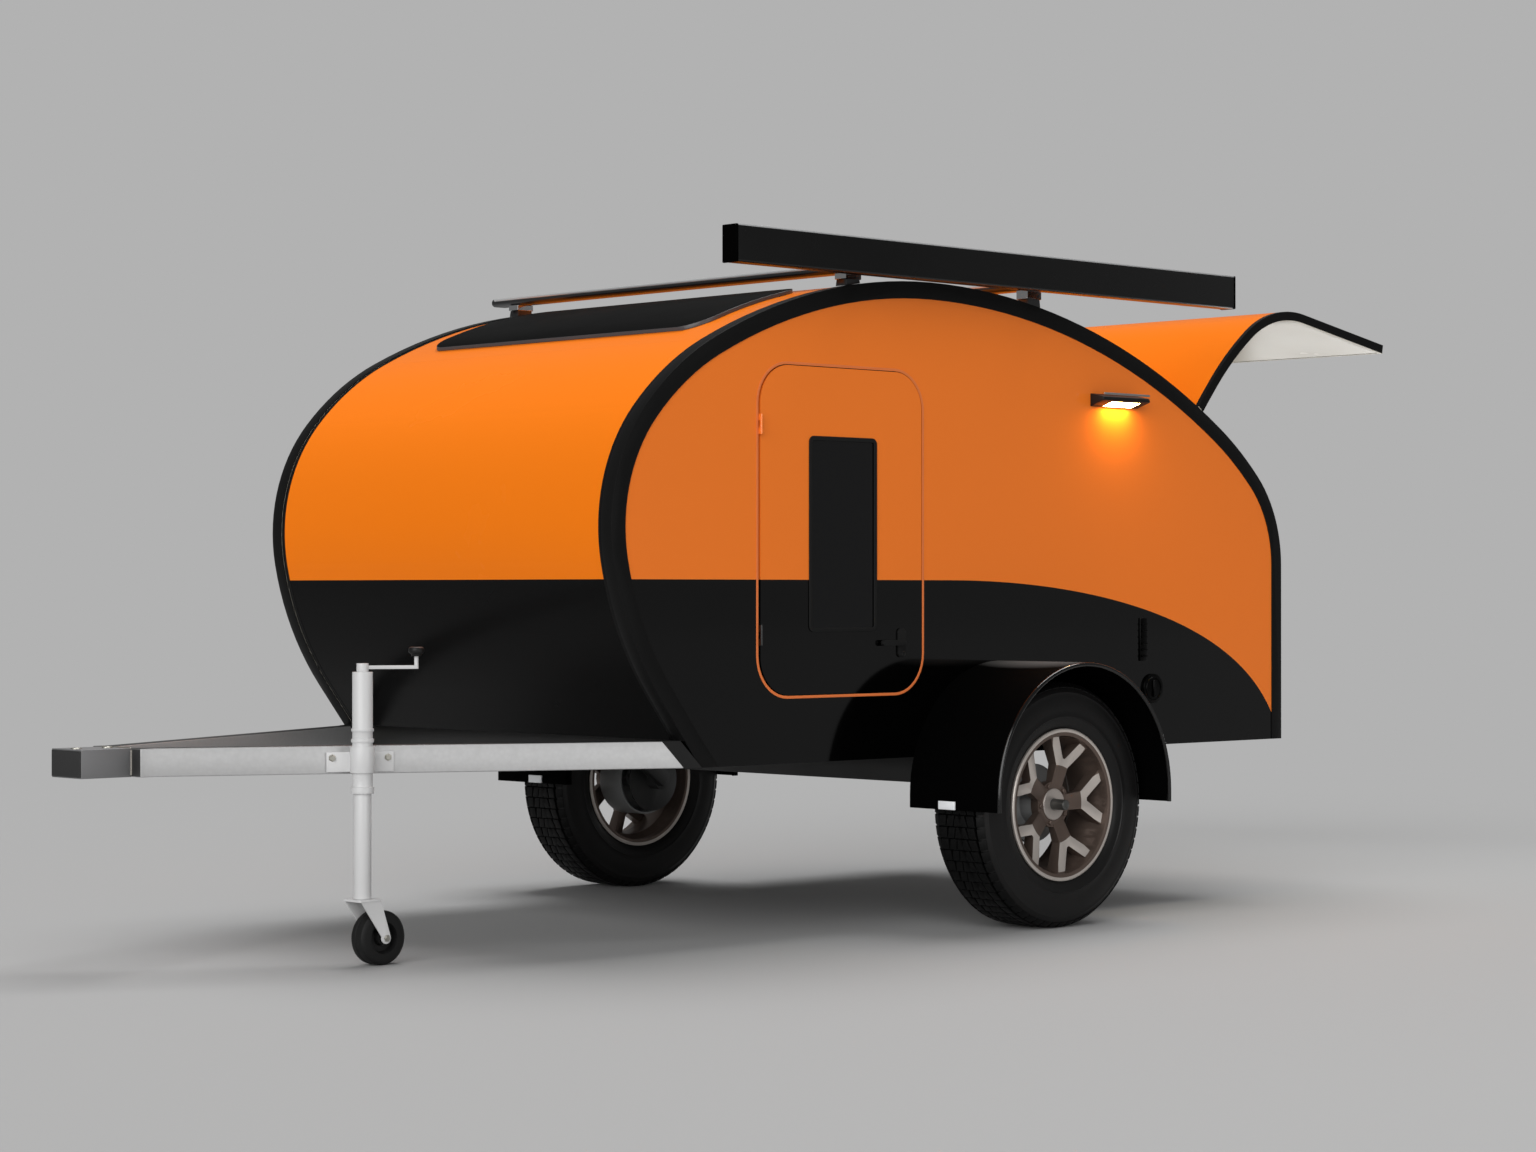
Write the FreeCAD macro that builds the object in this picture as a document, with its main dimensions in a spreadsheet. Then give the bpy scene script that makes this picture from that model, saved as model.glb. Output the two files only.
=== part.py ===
"""Teardrop trailer: a hollow sandwich-panel body on a steel chassis with an A-frame drawbar.

Axes: +Y rearwards, +X to the left side of the trailer, +Z up, the ground at Z = 0.
Everything is drawn about the axle line (Y = 0) and then carried by axle_y, so that the
origin lies under the middle of the whole trailer.  Millimetres throughout.
"""
import FreeCAD, Part
import Sketcher
import math
import os

doc = FreeCAD.newDocument("teardrop_trailer")
sheet = doc.addObject("Spreadsheet::Sheet", "sizes")

# Driving dimensions: alias, value
DRIVING = [
    # body outline, seen from the side
    ("axle_y", 385), ("body_width", 1657), ("body_bottom", 542), ("chassis_top", 622),
    ("crown_y", -319), ("crown_z", 2028), ("nose_foot_y", -1299.5), ("tail_y", 1474),
    ("wall", 44), ("shell", 30), ("skin_drop", 1), ("panel_gap", 6), ("ply", 18),
    # edge trim that caps both side walls
    ("trim_width", 51), ("trim_proud", 3),
    # drawbar and chassis
    ("rail_width", 50), ("drawbar_angle", 26.9), ("tip_y", -2767), ("tip_half", 123),
    ("tip_flat", 47), ("stub_half", 76), ("stub_length", 160), ("stub_bolt_radius", 8.5),
    ("stub_bolt_pitch", 50),
    # running gear
    ("track_half", 1000), ("tyre_radius", 387.5), ("tyre_width", 225), ("rim_radius", 240),
    ("flange_half", 96), ("bead_width", 20), ("rubber", 15),
    ("spindle_radius", 20), ("bearing_play", 0.05), ("beam_lead", 150), ("beam_side", 95),
    # wheel arches
    ("arch_radius", 413), ("arch_centre_z", 425), ("arch_foot_z", 385), ("arch_skin", 5),
    ("arch_outer_x", 1205.5), ("arch_lip", 12),
    # doors
    ("door_front_y", -1065), ("door_length", 714), ("door_sill_z", 739), ("door_height", 1011),
    ("door_corner", 125), ("door_gap", 8), ("window_front_y", -851), ("window_length", 286),
    ("window_sill_z", 940), ("window_head_z", 1528), ("window_corner", 14), ("pane", 6),
    ("hinge_radius", 4.5), ("hinge_pin", 2), ("hinge_out", 9), ("hinge_third", 20),
    # hatch
    ("hatch_tilt", 28.9), ("hatch_foot_z", 668), ("hatch_open", 80), ("pivot_out", 45),
    ("knuckle_radius", 9), ("pivot_pin", 5),
    # roof equipment
    ("bar_half", 905), ("bar_bottom", 2040), ("bar_depth", 27), ("bar_chord", 70),
    ("foot_x", 790), ("foot_width", 44), ("foot_length", 62),
    ("front_bar_y", -647), ("rear_bar_y", 190),
    ("awning_front_y", -1283), ("awning_length", 2330), ("awning_bottom", 2021),
    ("awning_height", 110), ("awning_depth", 57),
    ("skylight_half", 660), ("skylight_front_y", -1160), ("skylight_rear_y", -700),
    ("skylight_height", 12), ("skylight_rim", 50), ("skylight_corner", 100),
    # jockey wheel stand
    ("stand_y", -2227), ("stand_out", 45), ("sleeve_radius", 29), ("leg_radius", 25),
    ("slide_play", 0.3), ("sleeve_bottom", 490), ("sleeve_top", 832), ("fork_z", 190), ("leg_travel", 220),
    ("caster_radius", 78), ("caster_width", 58), ("caster_trail", 55), ("caster_pin", 7),
    # small fittings on the side walls, doors and tail
    ("handle_y", -452), ("handle_z", 900), ("lever_length", 96),
    ("lamp_front_y", 450), ("lamp_rear_y", 690), ("lamp_top", 1715), ("lamp_reach", 60),
    ("cap_y", 768), ("cap_z", 732), ("cap_radius", 50), ("vent_y", 702), ("vent_z", 826),
    ("vent_width", 36), ("vent_height", 144), ("tail_lamp_x", 640), ("tail_lamp_z", 575),
    ("tail_lamp_width", 200), ("tail_lamp_height", 70),
    # galley behind the cabin
    ("bulkhead_y", 745), ("counter_z", 1080), ("counter_edge_y", 1400), ("shelf_z", 1420),
    ("shelf_edge_y", 1060),
]
for row, (alias, value) in enumerate(DRIVING, start=1):
    sheet.set("A%d" % row, alias)
    sheet.set("B%d" % row, str(value))
    sheet.setAlias("B%d" % row, alias)
doc.recompute()


def size(alias):
    """A driving dimension as a plain number."""
    return float(sheet.get(alias))


# Side profile: tangent arcs that leave the crown forwards and rearwards.
# Columns: name, radius, turn in degrees
FRONT_ARCS = [("crown", 2054, 26.75), ("shoulder", 896, 22), ("brow", 534, 52), ("chin", 929, 26.5)]
REAR_ARCS = [("crown", 2782, 31.5), ("flank", 1239, 12.25), ("tail", 421.4, 46.25)]
half_width = size("body_width") / 2
inner_half = half_width - size("wall")
wheel_z = size("tyre_radius")


def arc_chain(rows, sense):
    """Centres of the tangent arcs.  Tilt is the slope of the skin: 0 at the crown."""
    y, z, tilt = size("crown_y"), size("crown_z"), 0.0
    chain = []
    for name, radius, turn in rows:
        angle = math.radians(tilt)
        centre_y = y - sense * radius * math.sin(angle)
        centre_z = z - radius * math.cos(angle)
        chain.append((centre_y, centre_z, radius, tilt, tilt + turn))
        tilt += turn
        angle = math.radians(tilt)
        y = centre_y + sense * radius * math.sin(angle)
        z = centre_z + radius * math.cos(angle)
    return chain


FRONT, REAR = -1, 1
CHAINS = {FRONT: arc_chain(FRONT_ARCS, FRONT), REAR: arc_chain(REAR_ARCS, REAR)}


def on_profile(sense, tilt, inset=0.0):
    """Point (y, z) of the profile where the skin has that tilt, moved inwards by inset."""
    for centre_y, centre_z, radius, start, end in CHAINS[sense]:
        if start - 1e-9 <= tilt <= end + 1e-9:
            angle = math.radians(tilt)
            reach = radius - inset
            return centre_y + sense * reach * math.sin(angle), centre_z + reach * math.cos(angle)
    raise ValueError("tilt outside the profile")


def profile_arcs(sense, tilt_from, tilt_to, inset=0.0):
    """Three points of each arc between two tilts, in the order of travel."""
    low, high = min(tilt_from, tilt_to), max(tilt_from, tilt_to)
    pieces = []
    for centre_y, centre_z, radius, start, end in CHAINS[sense]:
        first, last = max(start, low), min(end, high)
        if last - first > 1e-6:
            middle = (first + last) / 2
            pieces.append([on_profile_arc(sense, centre_y, centre_z, radius - inset, tilt)
                           for tilt in (first, middle, last)])
    if tilt_from > tilt_to:
        pieces = [piece[::-1] for piece in pieces[::-1]]
    return pieces


def on_profile_arc(sense, centre_y, centre_z, reach, tilt):
    angle = math.radians(tilt)
    return centre_y + sense * reach * math.sin(angle), centre_z + reach * math.cos(angle)


def chin_line(z, inset=0.0):
    """Point of the straight stretch below the chin arc, at height z."""
    tilt = sum(turn for name, radius, turn in FRONT_ARCS)
    start_y, start_z = on_profile(FRONT, tilt, inset)
    return start_y + (start_z - z) / math.tan(math.radians(180 - tilt)), z


def tilt_at_y(sense, y):
    """Tilt of the crown arc at a given y."""
    centre_y, centre_z, radius, start, end = CHAINS[sense][0]
    return math.degrees(math.asin(sense * (y - centre_y) / radius))


def under_roof(y):
    """Height of the roof panel's inner face behind the crown."""
    centre_y, centre_z, radius, start, end = CHAINS[REAR][0]
    reach = radius - size("skin_drop") - size("shell")
    return centre_z + math.sqrt(reach ** 2 - (y - centre_y) ** 2)


# ---------------------------------------------------------------- drawing helpers
NODES = []


def finish(obj, label, lift=(0, 0, 0), turn=None):
    """Name a finished sub-part and carry it from the axle line to its place."""
    obj.Label = label
    base = FreeCAD.Vector(lift[0], lift[1] + size("axle_y"), lift[2])
    obj.Placement = FreeCAD.Placement(base, turn or FreeCAD.Rotation())
    if turn is None and lift[1] == 0:
        obj.setExpression("Placement.Base.y", "sizes.axle_y")
    NODES.append(obj)
    return obj


def new_body(name):
    return doc.addObject("PartDesign::Body", "body_" + name)


def new_sketch(body, name, role, offset=0.0):
    """Sketch on one of the body's own origin planes, moved along that plane's normal."""
    sketch = body.newObject("Sketcher::SketchObject", name)
    plane = [item for item in body.Origin.OriginFeatures if item.Role == role][0]
    sketch.AttachmentSupport = [(plane, "")]
    sketch.MapMode = "FlatFace"
    sketch.AttachmentOffset = FreeCAD.Placement(FreeCAD.Vector(0, 0, offset), FreeCAD.Rotation())
    return sketch


def draw(sketch, pieces):
    """Closed outline: two-point pieces are lines and three-point pieces are arcs."""
    for piece in pieces:
        points = [FreeCAD.Vector(a, b, 0) for a, b in piece]
        if len(points) == 2:
            sketch.addGeometry(Part.LineSegment(*points), False)
        else:
            sketch.addGeometry(Part.Arc(*points), False)


def polygon(points):
    return [[points[i], points[(i + 1) % len(points)]] for i in range(len(points))]


def joined(pieces):
    """Arcs and points in a row, closed by straight lines where ends do not meet."""
    outline = []
    for index, piece in enumerate(pieces):
        following = pieces[(index + 1) % len(pieces)]
        if len(piece) > 1:
            outline.append(piece)
        gap = math.dist(piece[-1], following[0])
        if gap > 1e-6:
            outline.append([piece[-1], following[0]])
    return outline


def rounded_box(u0, v0, u1, v1, radius):
    """Outline of a rectangle with round corners."""
    bend = radius * (1 - math.sqrt(0.5))
    return joined([
        [(u0, v0 + radius), (u0 + bend, v0 + bend), (u0 + radius, v0)],
        [(u1 - radius, v0), (u1 - bend, v0 + bend), (u1, v0 + radius)],
        [(u1, v1 - radius), (u1 - bend, v1 - bend), (u1 - radius, v1)],
        [(u0 + radius, v1), (u0 + bend, v1 - bend), (u0, v1 - radius)],
    ])


def pad(body, sketch, length, middle=False, back=False, name="Pad"):
    """Pad a sketch; length is a number or an expression on the sheet."""
    feature = body.newObject("PartDesign::Pad", name)
    feature.Profile = sketch
    feature.Reversed = back
    feature.Midplane = middle
    bind(feature, "Length", length)
    sketch.Visibility = False
    return feature


def pocket(body, sketch, length, middle=False, back=False, name="Pocket"):
    feature = body.newObject("PartDesign::Pocket", name)
    feature.Profile = sketch
    feature.Reversed = back
    feature.Midplane = middle
    bind(feature, "Length", length)
    doc.recompute()
    return feature


def bind(feature, prop, value):
    if isinstance(value, str):
        feature.setExpression(prop, value)
    else:
        setattr(feature, prop, value)


def slab(label, pieces, length, x_offset=0.0, middle=True):
    """A panel whose outline is drawn in the side view (y, z) and padded along X."""
    body = new_body(label)
    sketch = new_sketch(body, "outline", "YZ_Plane", x_offset)
    draw(sketch, pieces)
    pad(body, sketch, length, middle=middle)
    return body


def circle_on(body, name, role, offset, centre, radius):
    """Sketch of one circle; its radius is a number or an expression on the sheet."""
    sketch = new_sketch(body, name, role, offset)
    at = FreeCAD.Vector(centre[0], centre[1], 0)
    disc = sketch.addGeometry(Part.Circle(at, FreeCAD.Vector(0, 0, 1), 10))
    sketch.addConstraint(Sketcher.Constraint("Radius", disc, 10))
    sketch.addConstraint(Sketcher.Constraint("DistanceX", -1, 1, disc, 3, centre[0]))
    sketch.addConstraint(Sketcher.Constraint("DistanceY", -1, 1, disc, 3, centre[1]))
    if isinstance(radius, str):
        sketch.setExpression("Constraints[0]", radius)
    else:
        sketch.setDatum(0, radius)
    return sketch


def boss(body, centre, radius, role, offset, length, name="boss", back=False):
    """Round bar added to a body."""
    return pad(body, circle_on(body, name, role, offset, centre, radius), length, back=back,
               name="pad_" + name)


def bore(body, centre, radius, role, offset, length, name="bore", back=False, middle=False):
    """Round hole cut from a body."""
    return pocket(body, circle_on(body, name, role, offset, centre, radius), length, back=back,
                  middle=middle, name="cut_" + name)


def box(name, length, width, height, x, y, z):
    """Part::Box from its size along X, Y, Z and its low corner; any value may be an expression."""
    solid = doc.addObject("Part::Box", name)
    for prop, value in (("Length", length), ("Width", width), ("Height", height)):
        bind(solid, prop, value)
    solid.Placement.Base = FreeCAD.Vector(x, y, z)
    return solid


# ---------------------------------------------------------------- chassis
bottom = size("body_bottom")
deck = size("chassis_top")
rail = size("rail_width")
spread = math.tan(math.radians(size("drawbar_angle")))
lean = math.cos(math.radians(size("drawbar_angle")))
tip_y, tip_half = size("tip_y"), size("tip_half")
bend_y = tip_y + size("tip_flat")
butt_y = size("nose_foot_y")
trim_gap = size("trim_proud") + 2
slope_foot, slope_top = butt_y - trim_gap, chin_line(deck)[0] - trim_gap
outer_end = tip_half + (butt_y - bend_y) * spread
inner_end = outer_end - rail / lean
inner_tip = inner_end - (butt_y - tip_y) * spread

for side, hand in ((1, "left"), (-1, "right")):
    body = new_body("drawbar_" + hand)
    sketch = new_sketch(body, "plan", "XY_Plane", bottom)
    plan = [(inner_tip, tip_y), (tip_half, tip_y), (tip_half, bend_y), (outer_end, butt_y),
            (inner_end, butt_y)]
    draw(sketch, polygon([(side * x, y) for x, y in plan]))
    pad(body, sketch, "sizes.chassis_top - sizes.body_bottom")
    end_cut = new_sketch(body, "end_cut", "YZ_Plane", 0)
    draw(end_cut, polygon([(slope_top, deck + 1), (slope_foot, bottom - 1), (slope_foot + 300, bottom - 1),
                           (slope_foot + 300, deck + 1)]))
    pocket(body, end_cut, 4000, middle=True)
    finish(body, "drawbar_rail_" + hand)

body = new_body("coupling")
sketch = new_sketch(body, "plan", "XY_Plane", bottom)
stub, nose_y = size("stub_half"), tip_y - size("stub_length")
draw(sketch, polygon([(-stub, nose_y), (stub, nose_y), (stub, tip_y), (-stub, tip_y)]))
pad(body, sketch, "sizes.chassis_top - sizes.body_bottom")
pitch = size("stub_bolt_pitch")
for index, along in enumerate((-1, 1)):
    bore(body, (0, nose_y + size("stub_length") / 2 + along * pitch), "sizes.stub_bolt_radius",
         "XY_Plane", deck, 200, name="bolt_%d" % index)
finish(body, "coupling_stub")

frame_end = size("tail_y") - size("shell") - 4
beams = []
for hand, low_x in (("left", inner_half - rail), ("right", -inner_half)):
    beams.append(box("sill_" + hand, "sizes.rail_width", frame_end - butt_y - 2 * rail - 1,
                     "sizes.chassis_top - sizes.body_bottom", low_x, butt_y + rail + 1, bottom))
pair = doc.addObject("Part::Compound", "rail_pair")
pair.Links = beams
finish(pair, "chassis_rails")

# Columns: name, front edge y, width across X
CROSS = [("front", butt_y + 1, 2 * inner_half), ("middle", -420, 2 * (inner_half - rail)),
         ("rear", 480, 2 * (inner_half - rail)), ("tail", frame_end - rail, 2 * inner_half)]
bars = []
for name, front_y, across in CROSS:
    bars.append(box("cross_" + name, across, "sizes.rail_width",
                    "sizes.chassis_top - sizes.body_bottom", -across / 2, front_y, bottom))
cross = doc.addObject("Part::MultiFuse", "cross_members")
cross.Shapes = bars
finish(cross, "cross_members")

# Rubber torsion axle: square beam, trailing arms, brake backing plates and spindles
beam_y, beam = -size("beam_lead"), size("beam_side")
beam_top = bottom - 0.2
arm_x = 770
parts = [box("beam", 2 * arm_x, "sizes.beam_side", "sizes.beam_side", -arm_x, beam_y - beam / 2,
             beam_top - beam)]
for side in (1, -1):
    arm = doc.addObject("Part::Box", "arm")
    arm.Length, arm.Width, arm.Height = 30, 210, 52
    drop = math.degrees(math.atan2(wheel_z - (beam_top - beam / 2), size("beam_lead")))
    turn = FreeCAD.Rotation(FreeCAD.Vector(1, 0, 0), drop)
    start = FreeCAD.Vector(arm_x - 10 if side > 0 else -arm_x - 20, beam_y, beam_top - beam / 2)
    arm.Placement = FreeCAD.Placement(start + turn.multVec(FreeCAD.Vector(0, -25, -26)), turn)
    parts.append(arm)
    for name, radius, near, length in (("boss", 34, arm_x + 15, 60), ("plate", 112, arm_x + 62, 6),
                                       ("spindle", "sizes.spindle_radius", arm_x + 60, 165)):
        rod = doc.addObject("Part::Cylinder", name)
        bind(rod, "Radius", radius)
        rod.Height = length
        rod.Placement = FreeCAD.Placement(FreeCAD.Vector(side * near, 0, wheel_z),
                                          FreeCAD.Rotation(FreeCAD.Vector(0, 1, 0), 90 * side))
        parts.append(rod)
axle = doc.addObject("Part::MultiFuse", "axle_parts")
axle.Shapes = parts
finish(axle, "axle")

# ---------------------------------------------------------------- body panels
nose_low = chin_line(deck)
chin_end = sum(turn for name, radius, turn in FRONT_ARCS)
tail_end = sum(turn for name, radius, turn in REAR_ARCS)
body_outline = joined(
    profile_arcs(FRONT, chin_end, 0) + profile_arcs(REAR, 0, tail_end)
    + [[(size("tail_y"), bottom)], [(size("nose_foot_y"), bottom)], [nose_low]])

gap = size("door_gap")
door_front, door_rear = size("door_front_y"), size("door_front_y") + size("door_length")
door_low, door_top = size("door_sill_z"), size("door_sill_z") + size("door_height")
for side, hand in ((1, "left"), (-1, "right")):
    body = new_body("wall_" + hand)
    sketch = new_sketch(body, "outline", "YZ_Plane", side * inner_half)
    draw(sketch, body_outline)
    pad(body, sketch, "sizes.wall", back=side < 0)
    opening = new_sketch(body, "door_opening", "YZ_Plane", 0)
    draw(opening, rounded_box(door_front, door_low, door_rear, door_top, size("door_corner")))
    pocket(body, opening, 4000, middle=True)
    finish(body, "side_wall_" + hand)

shell = size("shell")
seam = FRONT_ARCS[0][2]
skin_drop = size("skin_drop")
nose_outer = profile_arcs(FRONT, chin_end, seam + 0.03, skin_drop)
nose_inner = profile_arcs(FRONT, seam + 0.03, chin_end, skin_drop + shell)
foot_z = deck + 1
body = slab("nose", joined(nose_outer + nose_inner + [[chin_line(foot_z, skin_drop + shell)],
                                                      [chin_line(foot_z, skin_drop)]]),
            "sizes.body_width - 2 * sizes.wall - 1")
finish(body, "nose_panel")

roof_end = size("hatch_tilt") - 0.2
body = slab("roof", joined(
    profile_arcs(FRONT, seam, 0, skin_drop) + profile_arcs(REAR, 0, roof_end, skin_drop)
    + profile_arcs(REAR, roof_end, 0, skin_drop + shell)
    + profile_arcs(FRONT, 0, seam, skin_drop + shell)),
    "sizes.body_width - 2 * sizes.wall - 1")
sky_half, sky_front, sky_rear = size("skylight_half"), size("skylight_front_y"), size("skylight_rear_y")
rim = size("skylight_rim")
light = new_sketch(body, "skylight_opening", "XY_Plane", 0)
draw(light, rounded_box(rim - sky_half, sky_front + rim, sky_half - rim, sky_rear - rim, 30))
pocket(body, light, 6000, middle=True)
finish(body, "roof_panel")

floor = box("floor", 2 * inner_half - 1, 0, "sizes.ply", 0, 0, 0)
floor_front = nose_low[0] + shell + 14
floor.Width = frame_end - floor_front
finish(floor, "floor_panel", (0.5 - inner_half, floor_front, deck))

tail_top = size("hatch_foot_z") - size("panel_gap")
sill = box("tail_sill", 2 * inner_half - 1, "sizes.shell", tail_top - bottom, 0, 0, 0)
finish(sill, "rear_panel", (0.5 - inner_half, size("tail_y") - shell - 2, bottom))

# Trim: a flat band on the side and a lip that caps the wall's edge
band = size("trim_width")
proud = size("trim_proud")
trims = []
for side, hand in ((1, "left"), (-1, "right")):
    body = new_body("trim_" + hand)
    over = joined(profile_arcs(FRONT, chin_end, 0, -proud) + profile_arcs(REAR, 0, tail_end, -proud)
                  + [[(size("tail_y") + proud, bottom)], [(size("tail_y") - band, bottom)]]
                  + profile_arcs(REAR, tail_end, 0, band) + profile_arcs(FRONT, 0, chin_end, band)
                  + [[chin_line(deck + 20, band)], [(chin_line(bottom, band)[0] + 6, bottom)],
                     [(size("nose_foot_y") - proud, bottom)], [chin_line(deck, -proud)]])
    sketch = new_sketch(body, "band", "YZ_Plane", side * half_width)
    draw(sketch, over)
    pad(body, sketch, "sizes.trim_proud", back=side < 0)
    cap = joined(profile_arcs(FRONT, chin_end, 0, -proud) + profile_arcs(REAR, 0, tail_end, -proud)
                 + [[(size("tail_y") + proud, bottom)], [(size("tail_y"), bottom)]]
                 + profile_arcs(REAR, tail_end, 0, 0) + profile_arcs(FRONT, 0, chin_end, 0)
                 + [[nose_low], [chin_line(deck, -proud)]])
    lip = new_sketch(body, "lip", "YZ_Plane", side * inner_half)
    draw(lip, cap)
    pad(body, lip, "sizes.wall + sizes.trim_proud", back=side < 0)
    trims.append(body)
pair = doc.addObject("Part::Compound", "trim_pair")
pair.Links = trims
finish(pair, "edge_trims")

# ---------------------------------------------------------------- wheel arches
radius, skin = size("arch_radius"), size("arch_skin")
centre_z, foot = size("arch_centre_z"), size("arch_foot_z")


def arch(reach, depth):
    """Half hoop with straight feet: outer radius and thickness."""
    near = reach - depth
    return joined([[(-reach, foot), (-reach, centre_z)],
                   [(-reach, centre_z), (0, centre_z + reach), (reach, centre_z)],
                   [(reach, centre_z), (reach, foot)], [(reach, foot), (near, foot)],
                   [(near, foot), (near, centre_z)],
                   [(near, centre_z), (0, centre_z + near), (-near, centre_z)],
                   [(-near, centre_z), (-near, foot)]])


for side, hand in ((1, "left"), (-1, "right")):
    body = new_body("arch_" + hand)
    hoop = new_sketch(body, "hoop", "YZ_Plane", side * (half_width + 0.2))
    draw(hoop, arch(radius, skin))
    pad(body, hoop, "sizes.arch_outer_x - sizes.body_width / 2 - 0.2", back=side < 0)
    lip = new_sketch(body, "lip", "YZ_Plane", side * size("arch_outer_x"))
    draw(lip, arch(radius, size("arch_lip")))
    pad(body, lip, 4, back=side > 0)
    finish(body, "fender_" + hand)

# ---------------------------------------------------------------- doors
window_front, window_rear = size("window_front_y"), size("window_front_y") + size("window_length")
window_low, window_head = size("window_sill_z"), size("window_head_z")
corner, pane = size("window_corner"), size("pane")
hinge_x, hinge_y = half_width + size("hinge_out"), door_front + gap / 2
HINGE_HEIGHTS = (door_low + 190, door_top - 190)
third = size("hinge_third")
door_pins = []

for side, hand in ((1, "left"), (-1, "right")):
    body = new_body("door_" + hand)
    panel = new_sketch(body, "panel", "YZ_Plane", side * inner_half)
    draw(panel, rounded_box(door_front + gap, door_low + gap, door_rear - gap, door_top - gap,
                            size("door_corner") - gap))
    pad(body, panel, "sizes.wall", back=side < 0)
    hole = new_sketch(body, "window_hole", "YZ_Plane", 0)
    draw(hole, rounded_box(window_front, window_low, window_rear, window_head, corner))
    pocket(body, hole, 4000, middle=True)
    for index, height in enumerate(HINGE_HEIGHTS):
        knuckle = new_sketch(body, "knuckle_%d" % index, "XY_Plane", height - third / 2)
        centre = (side * hinge_x, hinge_y)
        leaf = [(side * (half_width - 12), door_front + gap + 0.5),
                (side * (half_width - 12), door_front + gap - 1.5),
                (side * hinge_x, hinge_y + 1.5), (side * hinge_x, hinge_y + size("hinge_radius"))]
        draw(knuckle, polygon(leaf))
        pad(body, knuckle, "sizes.hinge_third")
        boss(body, centre, "sizes.hinge_radius", "XY_Plane", height - third / 2,
             "sizes.hinge_third", name="barrel_%d" % index)
    doc.recompute()
    bore(body, (side * hinge_x, hinge_y), "sizes.hinge_pin + sizes.bearing_play", "XY_Plane",
         door_low, 4000, name="pin_hole", middle=True)
    finish(body, "door_" + hand)

    body = new_body("pane_" + hand)
    glass = new_sketch(body, "glass", "YZ_Plane", side * (half_width - pane - 1))
    draw(glass, rounded_box(window_front + 1, window_low + 1, window_rear - 1, window_head - 1,
                            corner - 1))
    pad(body, glass, "sizes.pane", back=side < 0)
    finish(body, "door_window_" + hand)

    body = new_body("handle_" + hand)
    grip_y, grip_z = size("handle_y"), size("handle_z")
    plate = new_sketch(body, "plate", "YZ_Plane", side * (half_width + 0.2))
    draw(plate, rounded_box(grip_y - 17, grip_z - 45, grip_y + 17, grip_z + 45, 14))
    pad(body, plate, 6, back=side < 0)
    lever = new_sketch(body, "lever", "YZ_Plane", side * (half_width + 6))
    draw(lever, rounded_box(grip_y - size("lever_length"), grip_z - 9, grip_y + 9, grip_z + 9, 8))
    pad(body, lever, 12, back=side < 0)
    finish(body, "door_handle_" + hand)

    for index, height in enumerate(HINGE_HEIGHTS):
        pieces = []
        pin = doc.addObject("Part::Cylinder", "pin")
        pin.setExpression("Radius", "sizes.hinge_pin")
        pin.setExpression("Height", "3 * sizes.hinge_third + 1")
        pin.Placement.Base = FreeCAD.Vector(side * hinge_x, hinge_y, height - 1.5 * third - 0.5)
        pieces.append(pin)
        for low in (height - 1.5 * third - 0.5, height + third / 2 + 0.5):
            barrel = doc.addObject("Part::Cylinder", "barrel")
            barrel.setExpression("Radius", "sizes.hinge_radius")
            barrel.setExpression("Height", "sizes.hinge_third")
            barrel.Placement.Base = FreeCAD.Vector(side * hinge_x, hinge_y, low)
            leaf = box("leaf", 20 + size("hinge_out"), 2, "sizes.hinge_third", 0, 0, 0)
            leaf.Placement.Base = FreeCAD.Vector(
                half_width - 20 if side > 0 else -hinge_x, door_front + 0.2, low)
            tie = box("tie", 3, 4.5, "sizes.hinge_third", side * (half_width + 3.5) - 1.5,
                      door_front + 0.2, low)
            pieces += [barrel, leaf, tie]
        hinge = doc.addObject("Part::MultiFuse", "hinge_%s_%d" % (hand, index))
        hinge.Shapes = pieces
        door_pins.append(hinge)
pair = doc.addObject("Part::Compound", "door_hinge_set")
pair.Links = door_pins
finish(pair, "door_hinges")

# ---------------------------------------------------------------- hatch
open_angle = size("hatch_open")
seam_tilt = size("hatch_tilt")
pivot_y, pivot_z = on_profile(REAR, seam_tilt - 0.1, -size("pivot_out"))
hatch_foot = size("hatch_foot_z")
body = slab("hatch", joined(
    profile_arcs(REAR, seam_tilt, tail_end, skin_drop) + [[(size("tail_y") - skin_drop, hatch_foot)],
                                                          [(size("tail_y") - skin_drop - shell, hatch_foot)]]
    + profile_arcs(REAR, tail_end, seam_tilt, skin_drop + shell)),
    "sizes.body_width - 2 * sizes.wall - 2 * sizes.panel_gap")
# Columns: low x, high x of the hatch's knuckles; the roof's knuckles sit on both sides of each
KNUCKLES = [(-460, -340), (340, 460)]
knuckle_play, outer_knuckle = 1, 55
foot_tilt = seam_tilt + 1.0
root = [on_profile(REAR, foot_tilt, 4), on_profile(REAR, seam_tilt + 0.05, 4)]
for index, (low, high) in enumerate(KNUCKLES):
    web = new_sketch(body, "web_%d" % index, "YZ_Plane", low)
    draw(web, polygon([root[0], root[1], (pivot_y + 1, pivot_z), (pivot_y + 6, pivot_z + 5)]))
    pad(body, web, high - low)
    boss(body, (pivot_y, pivot_z), "sizes.knuckle_radius", "YZ_Plane", low, high - low,
         name="knuckle_%d" % index)
doc.recompute()
bore(body, (pivot_y, pivot_z), "sizes.pivot_pin + sizes.bearing_play", "YZ_Plane", 0, 4000,
     name="pivot_hole", middle=True)
turn = FreeCAD.Rotation(FreeCAD.Vector(1, 0, 0), open_angle)
pivot = FreeCAD.Vector(0, pivot_y, pivot_z)
shift = pivot - turn.multVec(pivot)
finish(body, "hatch", (shift.x, shift.y, shift.z), turn)

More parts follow.
